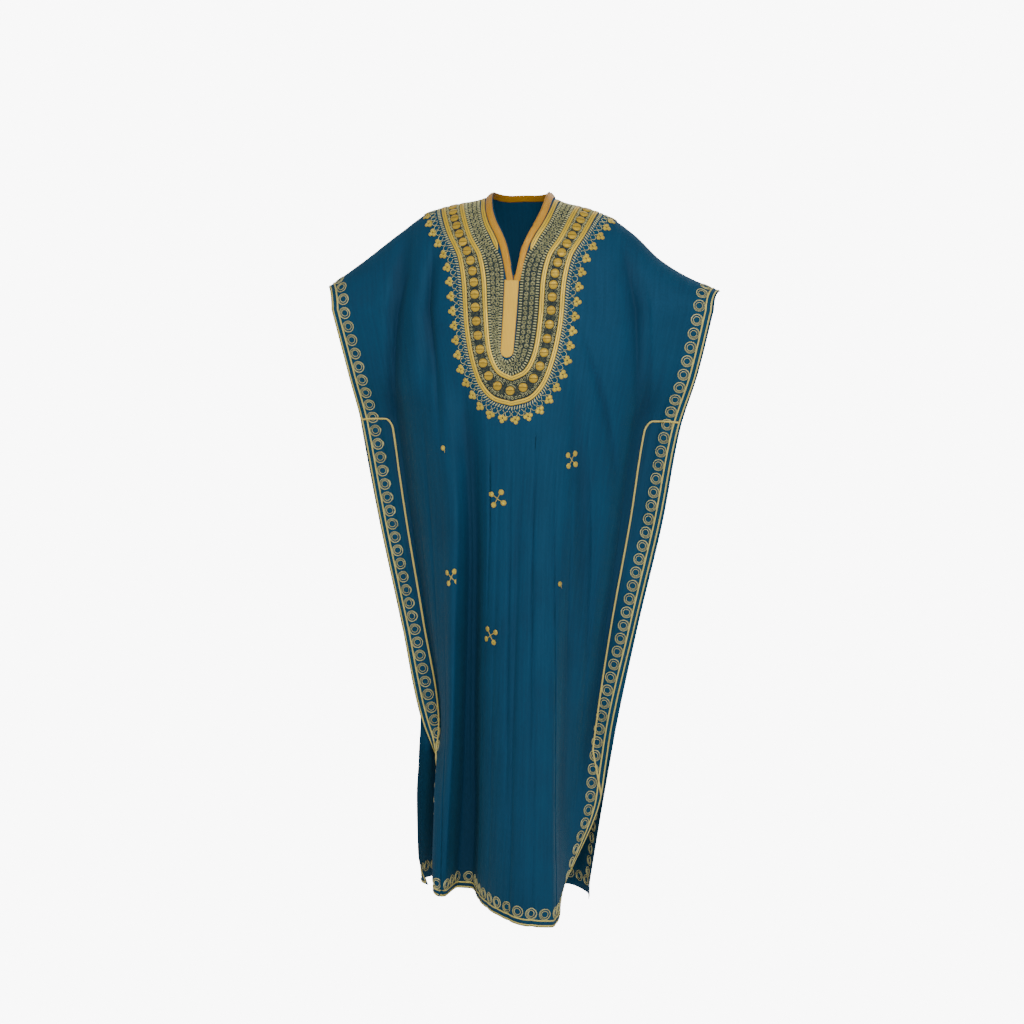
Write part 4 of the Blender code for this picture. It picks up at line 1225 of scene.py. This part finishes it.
yokeMotifs = {
    "high": 0.0008, "barHigh": 0.0009, "onNet": 0.0014,
    "rung": {"long": 0.0058, "wide": 0.0021, "rows": (0.105, 0.785), "pitch": 0.0050,
             "room": 0.022},
    "slantRung": {"slant": 0.40, "rows": (2.255,), "pitch": 0.0050, "room": 0.02},
    "curl": {"turns": (0.2, 1.62 * 2 * math.pi), "radii": (0.0041, 0.0014), "wide": 0.0011,
             "rows": (0.325, 0.565), "phases": (0.0, 0.5), "pitch": 0.0088, "room": 0.026},
    "disc": {"radius": 0.0084, "high": 0.0018, "rows": (1.5,), "room": 0.026,
             "pitch": ((-0.37, 0.0245), (-0.30, 0.0255), (-0.22, 0.0265), (-0.14, 0.0205),
                       (0.0, 0.0190))},
    "scallop": {"turns": (0.24, 0.76), "radii": (0.0112, 0.0108), "wide": 0.0012},
    "loop": {"radius": 0.0025, "wide": 0.0010, "rows": (1.20, 1.80), "pitch": 0.0068,
             "room": 0.024},
    "arch": {"turns": (-0.12, 1.12), "radii": (0.0052, 0.0056), "wide": 0.0014, "drop": 0.0006,
             "foot": (0.0034, 0.0012, 0.0007), "footAt": (0.0026, -0.0044), "footSlant": 0.5,
             "rows": (2.56,), "pitch": 0.0126, "room": 0.018},
    "clover": {"leaves": ((-0.0048, -0.0010), (0.0048, -0.0010), (0.0, 0.0048)),
               "leaf": (0.0043, 0.0015, 11), "stem": (0.0026, 0.0012, 8, (0, -0.0042)),
               "rows": (2.84,), "room": 0.018,
               "pitch": ((-0.40, 0.0240), (-0.30, 0.0270), (-0.10, 0.0270), (0.0, 0.0230))},
}
high, barHigh, onNet = [yokeMotifs[key] for key in ("high", "barHigh", "onNet")]


def yokeSpots(spec):
    # places along some levels, where there is room between the yoke's lines beside them
    pitch, spots = spec["pitch"], []
    if isinstance(pitch, tuple):
        heights, pitches = zip(*spec["pitch"])

        def pitch(z):
            return np.interp(z, heights, pitches)
    for level, phase in zip(spec["rows"], spec.get("phases", (0.5, 0.5))):
        low = min(int(level), 2)
        free = np.linalg.norm(yokeEnds[low + 1][0] - yokeEnds[low][0], axis=1)
        spots.append(stations(yokeLine(level), pitch, phase, free, spec["room"]))
    return tuple(np.concatenate(part) for part in zip(*spots))


spec = yokeMotifs["rung"]
addMotifs("yokeRungs", yokeSpots(spec), Motif().bar(spec["long"], spec["wide"], barHigh, pale=1.0),
          "paleThread", lift=onNet)
slant = yokeMotifs["slantRung"]
addMotifs("yokeSlantRungs", yokeSpots(slant),
          Motif().bar(spec["long"] * 1.1, spec["wide"], barHigh, slant["slant"], pale=1.0),
          "paleThread")

spec = yokeMotifs["curl"]
turn = np.linspace(*spec["turns"], 15)
radius = spec["radii"][0] - (spec["radii"][0] - spec["radii"][1]) * turn / turn[-1]
curl = Motif().thread(arc(turn, radius, radius), spec["wide"], high, pale=1.0)
addMotifs("yokeCurls", turned(yokeSpots(spec), 11), curl, "paleThread", lift=onNet)

spec = yokeMotifs["disc"]
discSpots = yokeSpots(spec)
addMotifs("yokeDiscs", levelled(discSpots), Motif().disc(spec["radius"], spec["high"], 18),
          "discThread", lift=onNet, seed=5)

spec = yokeMotifs["scallop"]
scallop = Motif()
for side in (1, -1):
    turn = np.linspace(*spec["turns"], 9) * math.pi * side
    scallop.thread(arc(turn, *spec["radii"]), spec["wide"], high, pale=1.0)
addMotifs("yokeScallops", discSpots, scallop, "paleThread", lift=onNet)

spec = yokeMotifs["loop"]
addMotifs("yokeLoops", yokeSpots(spec),
          Motif().ring(spec["radius"], spec["wide"], high, 9, pale=1.0), "paleThread", lift=onNet)

spec = yokeMotifs["arch"]
turn = np.linspace(*spec["turns"], 10) * math.pi
line = arc(turn, *spec["radii"]) - (0, spec["drop"])
arch = Motif().thread(line, spec["wide"], barHigh, pale=1.0)
for side in (1, -1):
    x, y = spec["footAt"]
    arch.bar(*spec["foot"], side * spec["footSlant"], (side * x, y), 1.0)
addMotifs("yokeArches", yokeSpots(spec), arch, "paleThread")

spec = yokeMotifs["clover"]
clover = Motif()
for centre in spec["leaves"]:
    clover.disc(*spec["leaf"], centre)
clover.disc(*spec["stem"])
addMotifs("yokeClovers", yokeSpots(spec), clover, "cloverThread", seed=7)
print("yoke: motifs sewn on")

# borders: two gold lines and a chain of double rings round each panel's edges

border = {"lines": (("Outer", 0.0035), ("Inner", 0.0130)), "lineWide": 0.0029,
          "ringAway": 0.0252, "ringPitch": 0.0262, "bare": (-1.285, -0.94),
          # radius, width, height, segments and centre of each ring
          "rings": ((0.0113, 0.0015, 0.0010, 18, (0, 0)),
                    (0.0113 * 0.86, 0.0011, 0.0008, 16, (0.0006, 0.0005)),
                    (0.0070, 0.0016, 0.0010, 13, (-0.0003, 0.0002)))}


def inset(panel, sign, v, away):
    # the share across that lies a distance in from a side edge
    v = np.asarray(v, float)
    near = panel.place(np.full_like(v, sign * 0.985), v)
    scale = np.linalg.norm(panel.place(np.full_like(v, float(sign)), v) - near, axis=1) / 0.015
    return sign * (1 - away / scale)


def edgeLine(panel, away):
    drop = 1 - away / kaftanCut["cutLength"]
    sides = np.concatenate([np.linspace(0.001, 0.17, 24), np.linspace(0.18, drop, 130)])
    left, right = [inset(panel, sign, sides, away) for sign in (-1, 1)]
    hem = np.linspace(left[-1], right[-1], 130)[1:-1]
    u = np.concatenate([left, hem, right[::-1]])
    v = np.concatenate([sides, np.full(len(hem), drop), sides[::-1]])
    return (*onPanel(panel, u, v), False)


rings = Motif()
for spec in border["rings"]:
    rings.ring(*spec)
for panel, face in ((frontSheet, "Front"), (backSheet, "Back")):
    for label, away in border["lines"]:
        addBraid("edgeBraid" + face + label, edgeLine(panel, away), border["lineWide"],
                 "lineBraid", thick=0.0009, lift=0.0011, guide=face.lower(), spacing=0.006,
                 points=10)
    spots = stations(edgeLine(panel, border["ringAway"]), border["ringPitch"])
    addMotifs("ringBorder" + face, spots, rings, "ringThread", guide=face.lower(), seed=9)
# the rings show on the back's inside too, but not where it stands behind the turned edge
x, z = spots[0][:, 0], spots[0][:, 2]
shown = ~((x < 0) & (z < border["bare"][1]) & (z > border["bare"][0]))
addMotifs("ringBorderReverse", tuple(part[shown] for part in spots), rings, "ringThread",
          guide="back", side=-1.0, lift=0.0009, seed=9)
print("borders: lines and rings")

# seam cords: in from the sleeve end, round a corner and down to the slit

seam = {"across": 0.800, "fromEdge": 0.004, "corner": 0.035, "frontEnd": -1.04, "backEnd": -0.88,
        "width": 0.0036, "thick": 0.0022, "endDrops": (0.020, 0.055, 0.090)}


def seamLine(panel, sign):
    sleeveZ, across = kaftanCut["sleeveZ"], sign * seam["across"]

    def edgeAt(z):
        return inset(panel, sign, [panel.down(sign, z)], seam["fromEdge"])[0]

    first = edgeAt(sleeveZ)
    corner = sign * (seam["across"] + seam["corner"])
    end = seam["frontEnd"] if panel.side < 0 else seam["backEnd"]
    rough = [(first, sleeveZ), ((first + corner) / 2, sleeveZ + 0.002), (corner, sleeveZ + 0.002),
             (sign * (seam["across"] + 0.010), sleeveZ - 0.005), (across, sleeveZ - 0.018)]
    rough += [(across, z) for z in np.linspace(sleeveZ - 0.04, end, 30)]
    if panel.side < 0:  # the front's cords run out to the edge at the top of the slit
        last = seam["endDrops"][-1]
        rough += [(across + (edgeAt(end - drop) - across) * (drop / last) ** 1.2, end - drop)
                  for drop in seam["endDrops"]]
    rough = np.array(rough)
    fine = smoothCurve(np.arange(len(rough)), rough, np.linspace(0, len(rough) - 1, 400))
    down = np.array([panel.down(float(u), float(z)) for u, z in fine])
    return (*onPanel(panel, fine[:, 0], down), False)


for panel, face in ((frontSheet, "Front"), (backSheet, "Back")):
    for sign, hand in ((-1, "Left"), (1, "Right")):
        addBraid("seamCord" + face + hand, seamLine(panel, sign), seam["width"], "twistedCord",
                 "cord", seam["thick"], 0.7, 0.0012, guide=face.lower(), points=10)
print("seams: four cords")

# scattered motifs: four discs at the ends of two crossing threads

crosses = {
    "front": [(-0.025, -0.543), (0.108, -0.472), (-0.114, -0.694), (-0.039, -0.800)],
    "folded": [(-0.129, -0.453), (0.089, -0.700)],  # all but one disc is inside a crease
    "back": [(-0.075, -0.440), (0.070, -0.470), (0.0, -0.600), (-0.080, -0.730), (0.060, -0.780)],
    "reach": 0.0100, "disc": 0.0054, "high": 0.0013, "sway": 0.25, "pale": 0.4,
}
cross = Motif()
for sx, sy in ((-1, -1), (1, -1), (1, 1), (-1, 1)):
    centre = (sx * crosses["reach"], sy * crosses["reach"])
    cross.disc(crosses["disc"], crosses["high"], 14, centre)
for tilt in (1, -1):
    end = crosses["reach"] * 0.9
    cross.thread([(-end, -end * tilt), (-end * 0.3, -end * tilt * 0.36),
                  (end * 0.3, end * tilt * 0.36), (end, end * tilt)], 0.0022, 0.0010,
                 pale=crosses["pale"])
lone = Motif().disc(crosses["disc"] * 0.92, crosses["high"], 14)
lone.thread([(0.0, 0.0), (0.0035, -0.0040), (0.0042, -0.0085)], 0.0014, 0.0008,
            pale=crosses["pale"])

spots = levelled(seen(*zip(*crosses["front"])))
addMotifs("crossesFront", turned(spots, 4, crosses["sway"]), cross, "cloverThread", "front",
          seed=2)
addMotifs("crossesFolded", levelled(seen(*zip(*crosses["folded"]))), lone, "cloverThread", "front",
          seed=4)
spots = levelled(seen(*zip(*crosses["back"]), surfaceOf(backMesh), 1), -1.0)
addMotifs("crossesBack", turned(spots, 6, crosses["sway"]), cross, "cloverThread", "back", seed=2)

# the panels themselves, and what each piece stands for

for name, mesh in (("frontPanel", frontMesh), ("backPanel", backMesh)):
    mesh.materials.append(finishes["crepe"])
    thicken(keep(name, mesh, "cloth"), clothGrid["thickness"])

for helper in toRemove:
    bpy.data.objects.remove(helper, do_unlink=True)

# a piece replaces the CAD node of the same name, written with underscores
shortNames = {"neckbandSatin": "neckband", "placketBraid": "placket"}
for name, (piece, slot) in pieces.items():
    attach(piece, "root")
    spelt = "".join("_" + c.lower() if c.isupper() else c for c in name)
    node = shortNames.get(name, spelt)
    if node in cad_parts:
        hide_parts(node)

print("pieces:", len(pieces))
